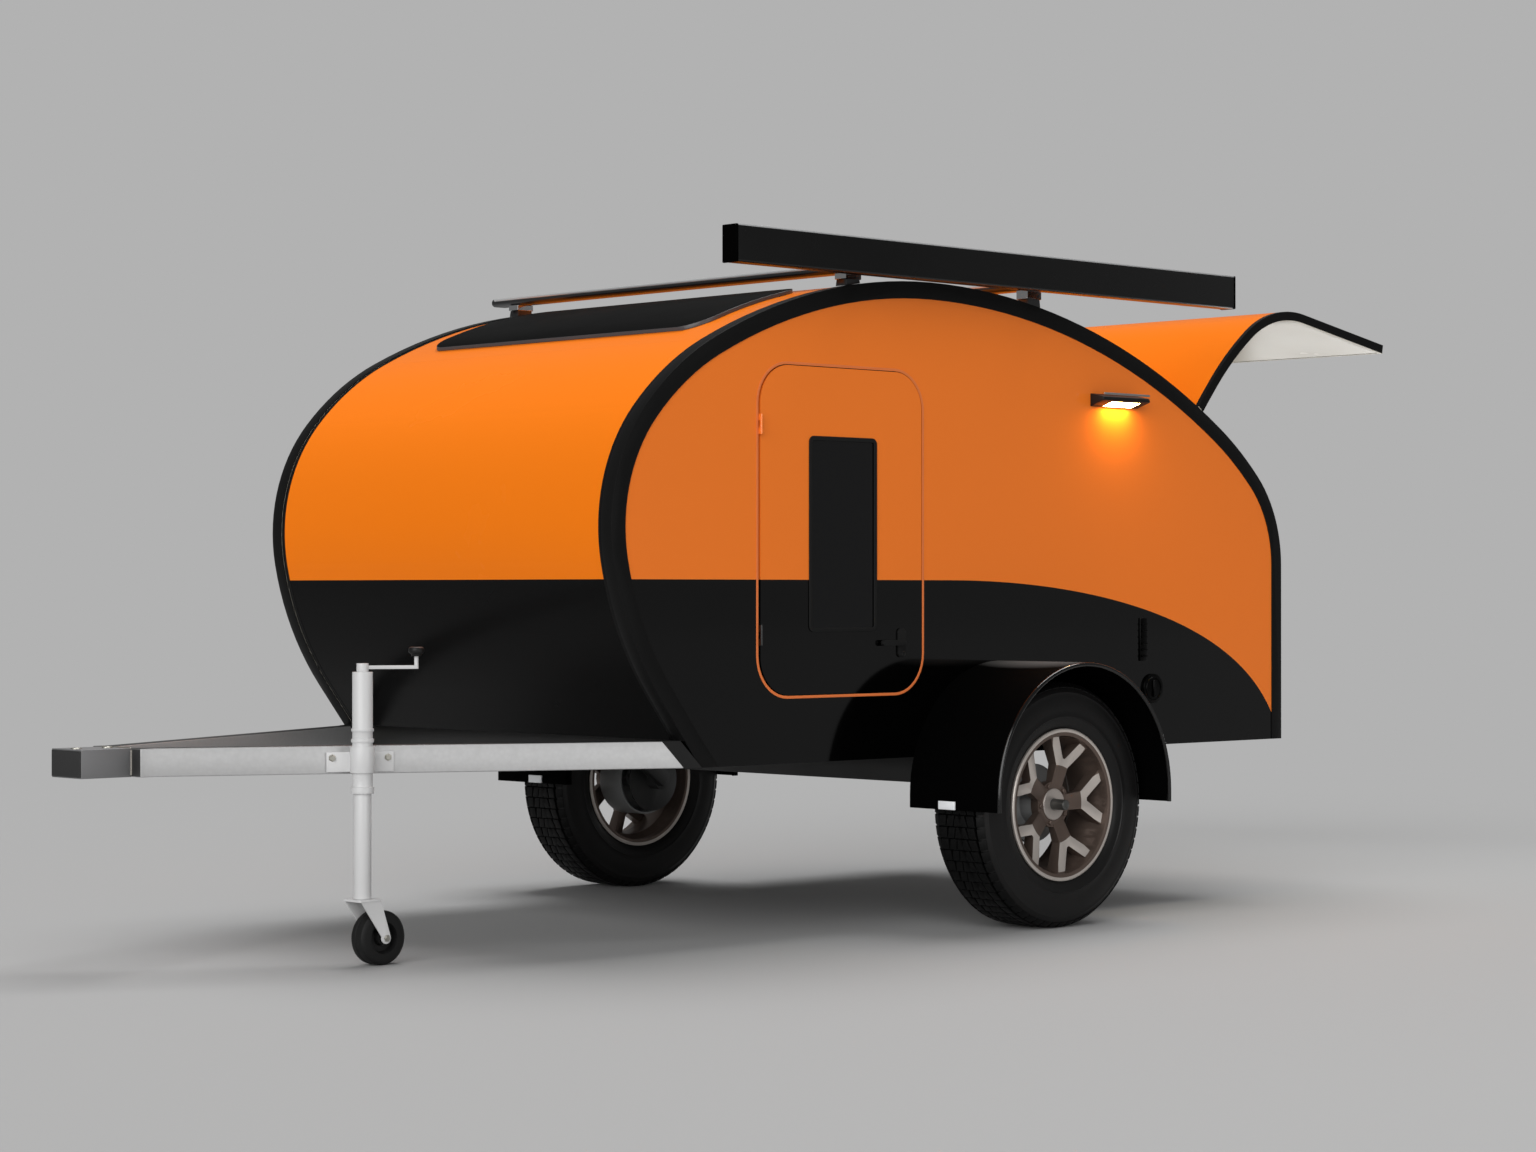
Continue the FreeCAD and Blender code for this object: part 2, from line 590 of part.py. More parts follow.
body = new_body("hatch_latch")
grip = new_sketch(body, "grip", "YZ_Plane", 0)
tail = size("tail_y") - skin_drop
draw(grip, joined([[(tail + 0.2, 730)], [(tail + 16, 735)],
                   [(tail + 16, 735), (tail + 26, 748), (tail + 16, 761)], [(tail + 0.2, 766)]]))
pad(body, grip, 150, middle=True)
finish(body, "hatch_latch", (shift.x, shift.y, shift.z), turn)

hinges = []
roof_root = [on_profile(REAR, roof_end - 0.9, skin_drop - 0.3),
             on_profile(REAR, roof_end - 0.05, skin_drop - 0.3)]
for index, (low, high) in enumerate(KNUCKLES):
    pieces = []
    pin = doc.addObject("Part::Cylinder", "pivot_pin")
    pin.setExpression("Radius", "sizes.pivot_pin")
    pin.Height = high - low + 2 * (outer_knuckle + knuckle_play)
    pin.Placement = FreeCAD.Placement(
        FreeCAD.Vector(low - outer_knuckle - knuckle_play, pivot_y, pivot_z),
        FreeCAD.Rotation(FreeCAD.Vector(0, 1, 0), 90))
    pieces.append(pin)
    for start in (low - outer_knuckle - knuckle_play, high + knuckle_play):
        barrel = doc.addObject("Part::Cylinder", "roof_knuckle")
        barrel.setExpression("Radius", "sizes.knuckle_radius")
        barrel.Height = outer_knuckle
        barrel.Placement = FreeCAD.Placement(FreeCAD.Vector(start, pivot_y, pivot_z),
                                             FreeCAD.Rotation(FreeCAD.Vector(0, 1, 0), 90))
        face = [roof_root[0], roof_root[1], (pivot_y - 1, pivot_z), (pivot_y - 6, pivot_z + 5)]
        wire = Part.makePolygon([FreeCAD.Vector(start, y, z) for y, z in face + face[:1]])
        web = doc.addObject("Part::Feature", "roof_web")
        web.Shape = Part.Face(wire).extrude(FreeCAD.Vector(outer_knuckle, 0, 0))
        pieces += [barrel, web]
    hinge = doc.addObject("Part::MultiFuse", "hatch_hinge_%d" % index)
    hinge.Shapes = pieces
    hinges.append(hinge)
pair = doc.addObject("Part::Compound", "hatch_hinge_pair")
pair.Links = hinges
finish(pair, "hatch_hinges")

# ---------------------------------------------------------------- roof equipment
for name in ("front", "rear"):
    bar_y = size(name + "_bar_y")
    sense = FRONT if bar_y < size("crown_y") else REAR
    body = new_body(name + "_bar")
    low_z, depth, chord = size("bar_bottom"), size("bar_depth"), size("bar_chord")
    half, grow = chord / 2, depth / 2
    section = new_sketch(body, "section", "YZ_Plane", 0)
    draw(section, joined([
        [(bar_y - half + grow, low_z), (bar_y - half, low_z + grow), (bar_y - half + grow, low_z + depth)],
        [(bar_y + half - grow, low_z + depth), (bar_y + half, low_z + grow), (bar_y + half - grow, low_z)]]))
    pad(body, section, "2 * sizes.bar_half", middle=True)
    reach = size("foot_length") / 2
    ends = []
    for y in (bar_y - reach, bar_y + reach):
        ends.append(on_profile(sense, tilt_at_y(sense, y), -proud - 0.8))
    feet = new_sketch(body, "feet", "YZ_Plane", 0)
    draw(feet, polygon([ends[0], ends[1], (bar_y + reach - 8, low_z + 6), (bar_y - reach + 8, low_z + 6)]))
    pad(body, feet, "2 * sizes.foot_x + sizes.foot_width", middle=True)
    clear = new_sketch(body, "clear", "YZ_Plane", 0)
    draw(clear, polygon([(bar_y - 90, low_z - 90), (bar_y + 90, low_z - 90), (bar_y + 90, low_z),
                         (bar_y - 90, low_z)]))
    pocket(body, clear, "2 * sizes.foot_x - sizes.foot_width", middle=True)
    finish(body, name + "_roof_bar")

body = new_body("awning")
case_x = size("bar_half") + 3
front_y, low_z = size("awning_front_y"), size("awning_bottom")
section = new_sketch(body, "case_section", "XZ_Plane", -front_y)
draw(section, rounded_box(case_x, low_z, case_x + size("awning_depth"),
                          low_z + size("awning_height"), 8))
pad(body, section, "sizes.awning_length", back=True)
for name in ("front", "rear"):
    bar_y = size(name + "_bar_y")
    clamp = new_sketch(body, "clamp_" + name, "XZ_Plane", -(bar_y - 28))
    draw(clamp, polygon([(case_x + 1, low_z + 12), (case_x + 1, low_z + 60), (case_x - 2.8, low_z + 60),
                         (case_x - 2.8, low_z + 12)]))
    pad(body, clamp, 56, back=True)
finish(body, "awning_case")

body = new_body("skylight")
lift = size("skylight_height")
tilt0, tilt1 = tilt_at_y(FRONT, sky_front), tilt_at_y(FRONT, sky_rear)
slope = joined(profile_arcs(FRONT, tilt0, tilt1, skin_drop - lift)
               + profile_arcs(FRONT, tilt1, tilt0, skin_drop - 0.4))
section = new_sketch(body, "section", "YZ_Plane", 0)
draw(section, slope)
pad(body, section, "2 * sizes.skylight_half", middle=True)
corners = new_sketch(body, "corners", "XY_Plane", 0)
margin = 40
ends = [on_profile(FRONT, tilt, skin_drop - lift)[0] for tilt in (tilt0, tilt1)]
draw(corners, polygon([(-sky_half - margin, ends[0] - margin), (sky_half + margin, ends[0] - margin),
                       (sky_half + margin, ends[1] + margin), (-sky_half - margin, ends[1] + margin)]))
draw(corners, rounded_box(-sky_half, ends[0] - 1, sky_half, ends[1] + 1, size("skylight_corner")))
pocket(body, corners, 6000, middle=True)
finish(body, "skylight")

body = new_body("lamp")
lamp_top, lamp_x = size("lamp_top"), half_width + size("lamp_reach")
section = new_sketch(body, "section", "XZ_Plane", -size("lamp_front_y"))
wall_x = half_width + 0.2
draw(section, polygon([(wall_x, lamp_top), (lamp_x - 4, lamp_top - 12), (lamp_x, lamp_top - 24),
                       (wall_x, lamp_top - 44)]))
pad(body, section, "sizes.lamp_rear_y - sizes.lamp_front_y", back=True)
finish(body, "side_lamp")

vent = box("vent", 5, "sizes.vent_width", "sizes.vent_height", wall_x, size("vent_y"), size("vent_z"))
cap = doc.addObject("Part::Cylinder", "cap")
cap.setExpression("Radius", "sizes.cap_radius")
cap.Height = 9
cap.Placement = FreeCAD.Placement(FreeCAD.Vector(wall_x, size("cap_y"), size("cap_z")),
                                  FreeCAD.Rotation(FreeCAD.Vector(0, 1, 0), 90))
pair = doc.addObject("Part::Compound", "service_pair")
pair.Links = [vent, cap]
finish(pair, "service_caps")

# ---------------------------------------------------------------- galley and tail lamps
ply = size("ply")
inner_length = "sizes.body_width - 2 * sizes.wall - 2"
bulk_y, shelf_z, shelf_edge = size("bulkhead_y"), size("shelf_z"), size("shelf_edge_y")
floor_top = deck + ply + 0.2
bulk_top = under_roof(bulk_y + ply) - 1
body = slab("bulkhead", polygon([
    (bulk_y, floor_top), (bulk_y + ply, floor_top), (bulk_y + ply, shelf_z),
    (shelf_edge, shelf_z), (shelf_edge, shelf_z + 45), (shelf_edge - ply, shelf_z + 45),
    (shelf_edge - ply, shelf_z + ply), (bulk_y + ply, shelf_z + ply), (bulk_y + ply, bulk_top),
    (bulk_y, bulk_top)]), inner_length)
finish(body, "galley_bulkhead")

counter_z, edge = size("counter_z"), size("counter_edge_y")
front_y = bulk_y + ply + 0.2
body = slab("bench", polygon([
    (front_y, counter_z - 30), (edge - 22 - ply, counter_z - 30), (edge - 22 - ply, floor_top),
    (edge - 22, floor_top), (edge - 22, counter_z - 30), (edge, counter_z - 30), (edge, counter_z),
    (front_y, counter_z)]), inner_length)
finish(body, "galley_bench")

lamps = []
for side in (1, -1):
    low_x = side * size("tail_lamp_x") - size("tail_lamp_width") / 2
    lamps.append(box("tail_lamp", "sizes.tail_lamp_width", 22, "sizes.tail_lamp_height",
                     low_x, size("tail_y") - 1.8, size("tail_lamp_z")))
pair = doc.addObject("Part::Compound", "lamp_pair")
pair.Links = lamps
finish(pair, "tail_lamps")

# ---------------------------------------------------------------- jockey wheel stand
stand_out, stand_y = size("stand_out"), size("stand_y")
face_x = tip_half + (stand_y - bend_y) * spread
# the stand's axis lies stand_out from the rail's outer face, measured square to that face
stand_x = face_x + stand_out / lean
sleeve, leg = size("sleeve_radius"), size("leg_radius")
sleeve_low, sleeve_high = size("sleeve_bottom"), size("sleeve_top")
body = new_body("sleeve")
boss(body, (0, 0), "sizes.sleeve_radius", "XY_Plane", sleeve_low, "sizes.sleeve_top - sizes.sleeve_bottom",
     name="sleeve")
# Columns: low z, height, extra radius of each collar
for index, (low, high, extra) in enumerate(((sleeve_low - 2, 10, 3), (547, 74, 6), (664, 8, 3))):
    boss(body, (0, 0), sleeve + extra, "XY_Plane", low, high, name="collar_%d" % index)
plate_z, plate_high, plate_long = 548, 56, 192
plan = new_sketch(body, "plate_plan", "XY_Plane", plate_z)
draw(plan, polygon([(-stand_out + 0.2, -plate_long / 2), (-stand_out + 8, -plate_long / 2),
                    (-stand_out + 8, plate_long / 2), (-stand_out + 0.2, plate_long / 2)]))
pad(body, plan, plate_high)
link = new_sketch(body, "link_plan", "XY_Plane", plate_z)
draw(link, polygon([(-stand_out + 4, -26), (-10, -26), (-10, 26), (-stand_out + 4, 26)]))
pad(body, link, plate_high)
doc.recompute()
bore(body, (0, 0), "sizes.leg_radius + sizes.slide_play", "XY_Plane", 0, 2 * (sleeve_high - 6),
     name="leg_bore", middle=True)
stand_turn = FreeCAD.Rotation(FreeCAD.Vector(0, 0, 1), -size("drawbar_angle"))
finish(body, "jockey_sleeve", (stand_x, stand_y, 0), stand_turn)

body = new_body("crank")
boss(body, (0, 0), 17, "XY_Plane", sleeve_high + 0.2, 24, name="head")
arm = new_sketch(body, "arm", "XY_Plane", sleeve_high + 8)
draw(arm, rounded_box(-6, -6, 6, 160, 5))
pad(body, arm, 10)
boss(body, (0, 154), 6, "XY_Plane", sleeve_high + 8, 40, name="post")
boss(body, (0, 154), 13, "XY_Plane", sleeve_high + 44, 26, name="grip")
finish(body, "jockey_crank", (stand_x, stand_y, 0), stand_turn)

fork_z = size("fork_z")
body = new_body("leg")
leg_low = fork_z + 0.5
leg_high = sleeve_high - 17 - size("leg_travel")
boss(body, (0, 0), "sizes.leg_radius", "XY_Plane", leg_low, leg_high - leg_low, name="leg")
doc.recompute()
bore(body, (0, 0), leg - 4, "XY_Plane", leg_low + 30, 2000, name="hollow", back=True)
doc.recompute()
bore(body, (0, 0), "sizes.caster_pin + sizes.bearing_play", "XY_Plane", leg_low + 25, 1000,
     name="swivel_hole")
finish(body, "jockey_leg", (stand_x, stand_y, 0))

caster, trail = size("caster_radius"), size("caster_trail")
body = new_body("fork")
plan = new_sketch(body, "head_plan", "XY_Plane", fork_z - 6)
draw(plan, rounded_box(-41, -39, 41, 39, 6))
pad(body, plan, 6)
boss(body, (0, 0), "sizes.caster_pin", "XY_Plane", fork_z - 2, 24, name="swivel_pin")
cheek = size("caster_width") / 2 + 5.5
for side in (1, -1):
    blade = new_sketch(body, "blade", "YZ_Plane", side * cheek)
    draw(blade, joined([[(-34, fork_z - 3)], [(36, fork_z - 3)],
                        [(trail + 15, caster + 4), (trail, caster - 16), (trail - 15, caster + 4)]]))
    pad(body, blade, 5, back=side < 0)
boss(body, (trail, caster), "sizes.caster_pin", "YZ_Plane", -cheek - 9, 2 * cheek + 18, name="axle")
finish(body, "jockey_fork", (stand_x, stand_y, 0))

body = new_body("caster")
section = circle_on(body, "section", "YZ_Plane", -size("caster_width") / 2, (trail, caster),
                    "sizes.caster_radius")
wheel_pad = pad(body, section, "sizes.caster_width")
doc.recompute()
rounding = body.newObject("PartDesign::Fillet", "tread_round")
rounding.Base = (wheel_pad, ["Edge%d" % (n + 1) for n, edge in enumerate(wheel_pad.Shape.Edges)
                             if isinstance(edge.Curve, Part.Circle)])
rounding.Radius = 9
doc.recompute()
bore(body, (trail, caster), "sizes.caster_pin + sizes.bearing_play", "YZ_Plane", 0, 4000,
     name="axle_hole", middle=True)
finish(body, "jockey_wheel", (stand_x, stand_y, 0))

# ---------------------------------------------------------------- road wheels
track, tyre_r = size("track_half"), size("tyre_radius")
half_tyre, rim_r = size("tyre_width") / 2, size("rim_radius")
flange, bead, rubber = size("flange_half"), rim_r - 12, size("rubber")
tread, bulge = half_tyre - 32, tyre_r - 77
toe = flange - 1 - size("bead_width")
# Right half of the tyre's section: tread, shoulder, wall, bead, then the hollow
TYRE_HALF = [
    [(0, tyre_r), (tread, tyre_r)],
    [(tread, tyre_r), (tread + 18, tyre_r - 7), (half_tyre - 6, tyre_r - 32)],
    [(half_tyre - 6, tyre_r - 32), (half_tyre, bulge), (flange + 7, rim_r + 9)],
    [(flange + 7, rim_r + 9), (flange - 1, rim_r + 2)],
    [(flange - 1, rim_r + 2), (flange - 1, bead)],
    [(flange - 1, bead), (toe, bead)],
    [(toe, bead), (toe + 8, rim_r + 14)],
    [(toe + 8, rim_r + 14), (half_tyre - rubber, bulge), (half_tyre - 2 * rubber, tyre_r - 30)],
    [(half_tyre - 2 * rubber, tyre_r - 30), (0, tyre_r - 30)]]
TYRE_SECTION = TYRE_HALF + [[(-across, height) for across, height in piece[::-1]]
                            for piece in TYRE_HALF[::-1]]
SPOKES, SPOKE_TURN = 5, 4


def spin(body, sketch, name):
    """Revolve a section drawn as (across, radius) in the plane through the wheel's axis."""
    feature = body.newObject("PartDesign::Revolution", name)
    feature.Profile = sketch
    feature.ReferenceAxis = (sketch, ["H_Axis"])
    feature.Angle = 360
    return feature


def outward(side, points):
    return [(side * across, height) for across, height in points]


for side, hand in ((1, "left"), (-1, "right")):
    axle_place = (side * track, 0, wheel_z)
    # tyre: tread, shoulders, bulging walls and beads round a hollow
    body = new_body("tyre_" + hand)
    section = new_sketch(body, "section", "XZ_Plane", 0)
    draw(section, joined(TYRE_SECTION))
    spin(body, section, "tyre")
    finish(body, "tyre_" + hand, axle_place)

    # rim: dropped-centre barrel, centre ring and forked spokes with a dished face
    body = new_body("rim_" + hand)
    barrel = new_sketch(body, "barrel", "XZ_Plane", 0)
    edge, well = flange, rim_r - 30
    draw(barrel, polygon(outward(side, [
        (-edge, rim_r), (-edge, bead - 0.3), (-edge + 24, bead - 0.3), (-edge + 50, well),
        (edge - 62, well), (edge - 26, bead - 0.3), (edge, bead - 0.3), (edge, rim_r),
        (edge + 7, rim_r), (edge + 9, rim_r - 4), (edge + 5, rim_r - 22), (edge - 24, rim_r - 24),
        (edge - 62, well - 9), (-edge + 50, well - 9), (-edge + 26, bead - 9), (-edge - 4, bead - 9),
        (-edge - 4, rim_r)])))
    spin(body, barrel, "barrel_turn")
    centre = new_sketch(body, "centre", "XZ_Plane", 0)
    face = edge - 6
    seat = face - 29
    draw(centre, polygon(outward(side, [(face - 60, 38), (face - 60, 72), (seat, 72), (seat, 38)])))
    spin(body, centre, "centre_turn")
    spoke = new_sketch(body, "spoke", "YZ_Plane", side * (face - 52))
    reach, crotch, fan, spread_half = rim_r - 19, 147, 19.5, 4.6
    fork = [(60, -25), (crotch - 24, -28)]
    for angle in (-fan - spread_half, spread_half - fan):
        fork.append((reach * math.cos(math.radians(angle)), reach * math.sin(math.radians(angle))))
    fork += [(crotch, -5), (crotch, 5)]
    for angle in (fan - spread_half, fan + spread_half):
        fork.append((reach * math.cos(math.radians(angle)), reach * math.sin(math.radians(angle))))
    fork += [(crotch - 24, 28), (60, 25)]
    turn = math.radians(SPOKE_TURN)
    draw(spoke, polygon([(y * math.cos(turn) - z * math.sin(turn), y * math.sin(turn) + z * math.cos(turn))
                         for y, z in fork]))
    arm = pad(body, spoke, 48, back=side < 0)
    doc.recompute()
    fan_out = body.newObject("PartDesign::PolarPattern", "spokes")
    fan_out.Originals = [arm]
    fan_out.Axis = (spoke, ["N_Axis"])
    fan_out.Angle = 360
    fan_out.Occurrences = SPOKES
    body.Tip = fan_out
    doc.recompute()
    dish = new_sketch(body, "dish", "XZ_Plane", 0)
    draw(dish, polygon(outward(side, [(seat, 0), (seat, 60), (face - 6, rim_r - 26), (face + 40, rim_r - 26),
                                      (face + 40, 0)])))
    hollow = body.newObject("PartDesign::Groove", "dished_face")
    hollow.Profile = dish
    hollow.ReferenceAxis = (dish, ["H_Axis"])
    hollow.Angle = 360
    doc.recompute()
    finish(body, "rim_" + hand, axle_place)

    # hub: brake drum, bearing tube, flange and a dust cap on the middle
    body = new_body("hub_" + hand)
    section = new_sketch(body, "section", "XZ_Plane", 0)
    spindle = size("spindle_radius") + size("bearing_play")
    spindle_end = arm_x + 60 + 165 - track
    draw(section, polygon(outward(side, [
        (-60, spindle), (-60, 34), (-30, 34), (-30, 118), (-72 - 60, 118), (-72 - 60, 125),
        (-20, 125), (-20, 70), (face - 61, 70), (face - 61, 37.5), (seat - 2, 37.5), (seat + 2, 33),
        (seat + 2, 17), (seat + 50, 16), (seat + 53, 13), (seat + 53, 0), (spindle_end + 6, 0),
        (spindle_end + 6, spindle)])))
    spin(body, section, "hub_turn")
    finish(body, "hub_" + hand, axle_place)

# ---------------------------------------------------------------- check and write
doc.recompute()
broken = [item.Name for item in doc.Objects if {"Invalid", "Error"} & set(item.State)]
if broken:
    raise SystemExit("not built: " + ", ".join(broken))
os.makedirs("parts", exist_ok=True)
for node in NODES:
    shape = node.Shape
    if shape.isNull() or not shape.isValid() or not shape.Solids:
        raise SystemExit("bad shape: " + node.Label)
    shape.exportStep("parts/%s.step" % node.Label)
    box_mm = shape.BoundBox
    print("%-22s solids %d  volume %9.0f cm3  x %7.1f %7.1f  y %7.1f %7.1f  z %7.1f %7.1f" % (
        node.Label, len(shape.Solids), shape.Volume / 1000, box_mm.XMin, box_mm.XMax,
        box_mm.YMin, box_mm.YMax, box_mm.ZMin, box_mm.ZMax))
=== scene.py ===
import math

import bmesh
import bpy
from mathutils import Matrix, Vector


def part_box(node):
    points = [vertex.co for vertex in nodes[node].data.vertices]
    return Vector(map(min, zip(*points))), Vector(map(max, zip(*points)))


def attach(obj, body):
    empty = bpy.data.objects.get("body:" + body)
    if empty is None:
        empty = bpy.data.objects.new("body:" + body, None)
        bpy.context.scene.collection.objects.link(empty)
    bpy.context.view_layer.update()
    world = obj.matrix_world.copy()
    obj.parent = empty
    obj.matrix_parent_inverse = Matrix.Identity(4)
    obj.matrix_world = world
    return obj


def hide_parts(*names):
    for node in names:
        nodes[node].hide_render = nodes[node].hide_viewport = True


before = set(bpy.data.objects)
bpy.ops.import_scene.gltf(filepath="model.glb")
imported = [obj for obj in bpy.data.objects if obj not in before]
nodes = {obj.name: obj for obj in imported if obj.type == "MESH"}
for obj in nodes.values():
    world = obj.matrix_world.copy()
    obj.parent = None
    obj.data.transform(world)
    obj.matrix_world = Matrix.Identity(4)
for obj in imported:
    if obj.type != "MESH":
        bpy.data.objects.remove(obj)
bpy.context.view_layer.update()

# ---------------------------------------------------------------- body shell: walls, nose, roof, doors
# Sandwich panels with a sprayed two-pack skin: orange above, black below a line that is level
# along the doors and sweeps down to the tail.  Inside, all of them have a cream laminate.
# The nose, roof, rear and hatch take the same paint in a deeper orange and a lighter black: painted light,
# tinted for the light that falls on those panels.
ORANGE_COAT = "#F47C26"
SHELL_ORANGE_PAINTED_LIGHT = "#F47C14"
BLACK_COAT = "#020202"
SHELL_BLACK_PAINTED_LIGHT = "#0B0B0B"
CREAM_LAMINATE = "#E4DFD0"
LINE_HEIGHT = 1.095
SWEEP_LENGTH = 1.720
SWEEP_DROP = 0.800
LAMINATE_DEPTH = 0.002


def linear(code):
    """An sRGB hex colour as the linear RGBA that a socket takes."""
    channels = [int(code[i:i + 2], 16) / 255 for i in (1, 3, 5)]
    return [c / 12.92 if c <= 0.04045 else ((c + 0.055) / 1.055) ** 2.4 for c in channels] + [1.0]


def new_material(name, **shader_values):
    """A material with its shader's own sockets set, given by socket name with _ for a space."""
    made = bpy.data.materials.new(name)
    made.use_nodes = True
    shader = made.node_tree.nodes["Principled BSDF"]
    for key, value in shader_values.items():
        value = linear(value) if isinstance(value, str) else value
        shader.inputs[key.replace("_", " ")].default_value = value
    return made, made.node_tree, shader


def add_node(tree, kind, inputs=None, **settings):
    """Adds a node.  Settings are its properties; an input is a value, a hex colour, a socket or a
    node that feeds it from its first output."""
    made = tree.nodes.new("ShaderNode" + kind)
    for key, value in settings.items():
        setattr(made, key, value)
    for key, value in (inputs or {}).items():
        if isinstance(value, bpy.types.Node):
            value = value.outputs[0]
        if isinstance(value, bpy.types.NodeSocket):
            tree.links.new(value, made.inputs[key])
        else:
            made.inputs[key].default_value = linear(value) if isinstance(value, str) else value
    return made


def grain_of(tree, shader, scale, depth, low, high, strength=0.3):
    """Fine surface relief of a given scale and depth, with the gloss drifting over 0.4 m."""
    place = add_node(tree, "TexCoord").outputs["Object"]
    fine = add_node(tree, "TexNoise", {"Vector": place, "Scale": scale, "Detail": 2.0})
    drift = add_node(tree, "TexNoise", {"Vector": place, "Scale": 2.5, "Detail": 4.0})
    gloss = add_node(tree, "MapRange", {"Value": drift.outputs["Fac"], "From Min": 0.3, "From Max": 0.7,
            "To Min": low, "To Max": high})
    tree.links.new(gloss.outputs[0], shader.inputs["Roughness"])
    bump = add_node(tree, "Bump", {"Height": fine.outputs["Fac"], "Strength": strength, "Distance": depth})
    tree.links.new(bump.outputs[0], shader.inputs["Normal"])


def grained(name, grain, colour, **shader_values):
    """A material with fine grain only: its scale, depth, lowest and highest roughness and strength."""
    made, tree, shader = new_material(name, Base_Color=colour, **shader_values)
    grain_of(tree, shader, *grain)
    return made


def two_tone(tree, place, orange, black):
    """A coat of orange, with black under the line: a superellipse that starts level."""
    where = add_node(tree, "SeparateXYZ", {0: place})
    along = add_node(tree, "MapRange", {"Value": where.outputs["Y"], "From Min": sweep_start,
            "From Max": sweep_start + SWEEP_LENGTH})
    rest = add_node(tree, "Math", {0: along, 1: 2.0}, operation="POWER")
    rest = add_node(tree, "Math", {0: 1.0, 1: rest}, operation="SUBTRACT")
    kept = add_node(tree, "Math", {0: rest, 1: 0.35}, operation="POWER")
    height = add_node(tree, "Math", {0: kept, 1: SWEEP_DROP, 2: LINE_HEIGHT - SWEEP_DROP},
            operation="MULTIPLY_ADD")
    below = add_node(tree, "Math", {0: where.outputs["Z"], 1: height}, operation="LESS_THAN")
    return add_node(tree, "Mix", {0: below, 6: orange, 7: black}, data_type="RGBA").outputs[2]


def wear(node_name, material):
    """Puts one material on a CAD node."""
    slots = nodes[node_name].data.materials
    slots.clear()
    slots.append(material)


wall_low, wall_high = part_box("side_wall_left")
wall_face, wall_inner = wall_high.x, wall_low.x
tyre_low, tyre_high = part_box("tyre_left")
axle_y, axle_z = (tyre_low.y + tyre_high.y) / 2, (tyre_low.z + tyre_high.z) / 2
sweep_start = axle_y - 0.220

# gloss two-pack polyurethane, sprayed: clear highlights with slight orange peel, in a deeper orange
# and a lighter black that paint in the light falling on these panels.  The side that faces the middle
# of the cabin is the laminate
shell_coat, tree, shader = new_material("two_pack_polyurethane_sprayed", Specular_IOR_Level=0.06)
place = add_node(tree, "TexCoord")
to_middle = add_node(tree, "VectorMath", {0: place.outputs["Object"],
        1: (0, (wall_low.y + wall_high.y) / 2, 1.25)}, operation="SUBTRACT")
facing = add_node(tree, "VectorMath", {0: to_middle, 1: place.outputs["Normal"]}, operation="DOT_PRODUCT")
inside = add_node(tree, "Math", {0: facing.outputs["Value"], 1: -0.05}, operation="LESS_THAN")
outside = two_tone(tree, place.outputs["Object"], SHELL_ORANGE_PAINTED_LIGHT, SHELL_BLACK_PAINTED_LIGHT)
skin = add_node(tree, "Mix", {0: inside, 6: outside, 7: CREAM_LAMINATE}, data_type="RGBA").outputs[2]
tree.links.new(skin, shader.inputs["Base Color"])
grain_of(tree, shader, 400.0, 0.0002, 0.20, 0.28, 0.06)
for name in ("nose_panel", "roof_panel", "rear_panel"):
    wear(name, shell_coat)

# the walls and doors carry the same paint outside, in tints set apart from the nose's painted light;
# their cabin side is told by how far it is from the middle
wall_coat, tree, shader = new_material("two_pack_polyurethane_over_laminate", Specular_IOR_Level=0.50)
place = add_node(tree, "TexCoord").outputs["Object"]
across = add_node(tree, "SeparateXYZ", {0: place})
across = add_node(tree, "Math", {0: across.outputs["X"]}, operation="ABSOLUTE")
inside = add_node(tree, "Math", {0: across, 1: wall_inner + LAMINATE_DEPTH}, operation="LESS_THAN")
outside = two_tone(tree, place, ORANGE_COAT, BLACK_COAT)
skin = add_node(tree, "Mix", {0: inside, 6: outside, 7: CREAM_LAMINATE}, data_type="RGBA").outputs[2]
tree.links.new(skin, shader.inputs["Base Color"])
grain_of(tree, shader, 400.0, 0.0002, 0.04, 0.08, 0.01)
for name in ("side_wall_left", "side_wall_right", "door_left", "door_right", "door_hinges"):
    wear(name, wall_coat)

# ---------------------------------------------------------------- edge trims
# Extruded aluminium caps, satin black powder coat, pressed over the walls' edges and bonded.
# Their corners are rounded by 1.5 mm, which gives each edge its thin line of light.
SHARP_ANGLE = math.radians(32)
BODY = "chassis_and_body"


def choose(pieces):
    """Selects these objects and no other; the first becomes active."""
    bpy.ops.object.select_all(action="DESELECT")
    for piece in pieces:
        piece.select_set(True)
    bpy.context.view_layer.objects.active = pieces[0]


def edit_all():
    """Opens the active piece in edit mode with all of it selected."""
    bpy.ops.object.mode_set(mode="EDIT")
    bpy.ops.mesh.select_all(action="SELECT")


def apply_place():
    """Applies the active piece's place, turn and scale to its mesh."""
    bpy.ops.object.transform_apply(location=True, rotation=True, scale=True)


def softened(node_name, width, segments=2, flatten=True):
    """A copy of a CAD node with its triangles joined and its sharp edges rounded."""
    piece = nodes[node_name].copy()
    piece.data = piece.data.copy()
    bpy.context.scene.collection.objects.link(piece)
    choose([piece])
    edit_all()
    bpy.ops.mesh.remove_doubles(threshold=0.00002)
    if flatten:
        bpy.ops.mesh.dissolve_limited(angle_limit=math.radians(1.0))
    bpy.ops.object.mode_set(mode="OBJECT")
    edge = piece.modifiers.new("edge", "BEVEL")
    edge.width, edge.segments, edge.angle_limit = width, segments, SHARP_ANGLE
    edge.use_clamp_overlap = True
    bpy.ops.object.modifier_apply(modifier=edge.name)
    return piece


def settle(piece, name, body, material=None, stands_for=()):
    """Names a finished piece, smooths its curves, and fixes it to its body."""
    choose([piece])
    apply_place()
    bpy.ops.object.shade_smooth_by_angle(angle=SHARP_ANGLE)
    piece.name = piece.data.name = name
    if material:
        piece.data.materials.clear()
        piece.data.materials.append(material)
    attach(piece, body)
    if stands_for:
        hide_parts(*stands_for)
    return piece


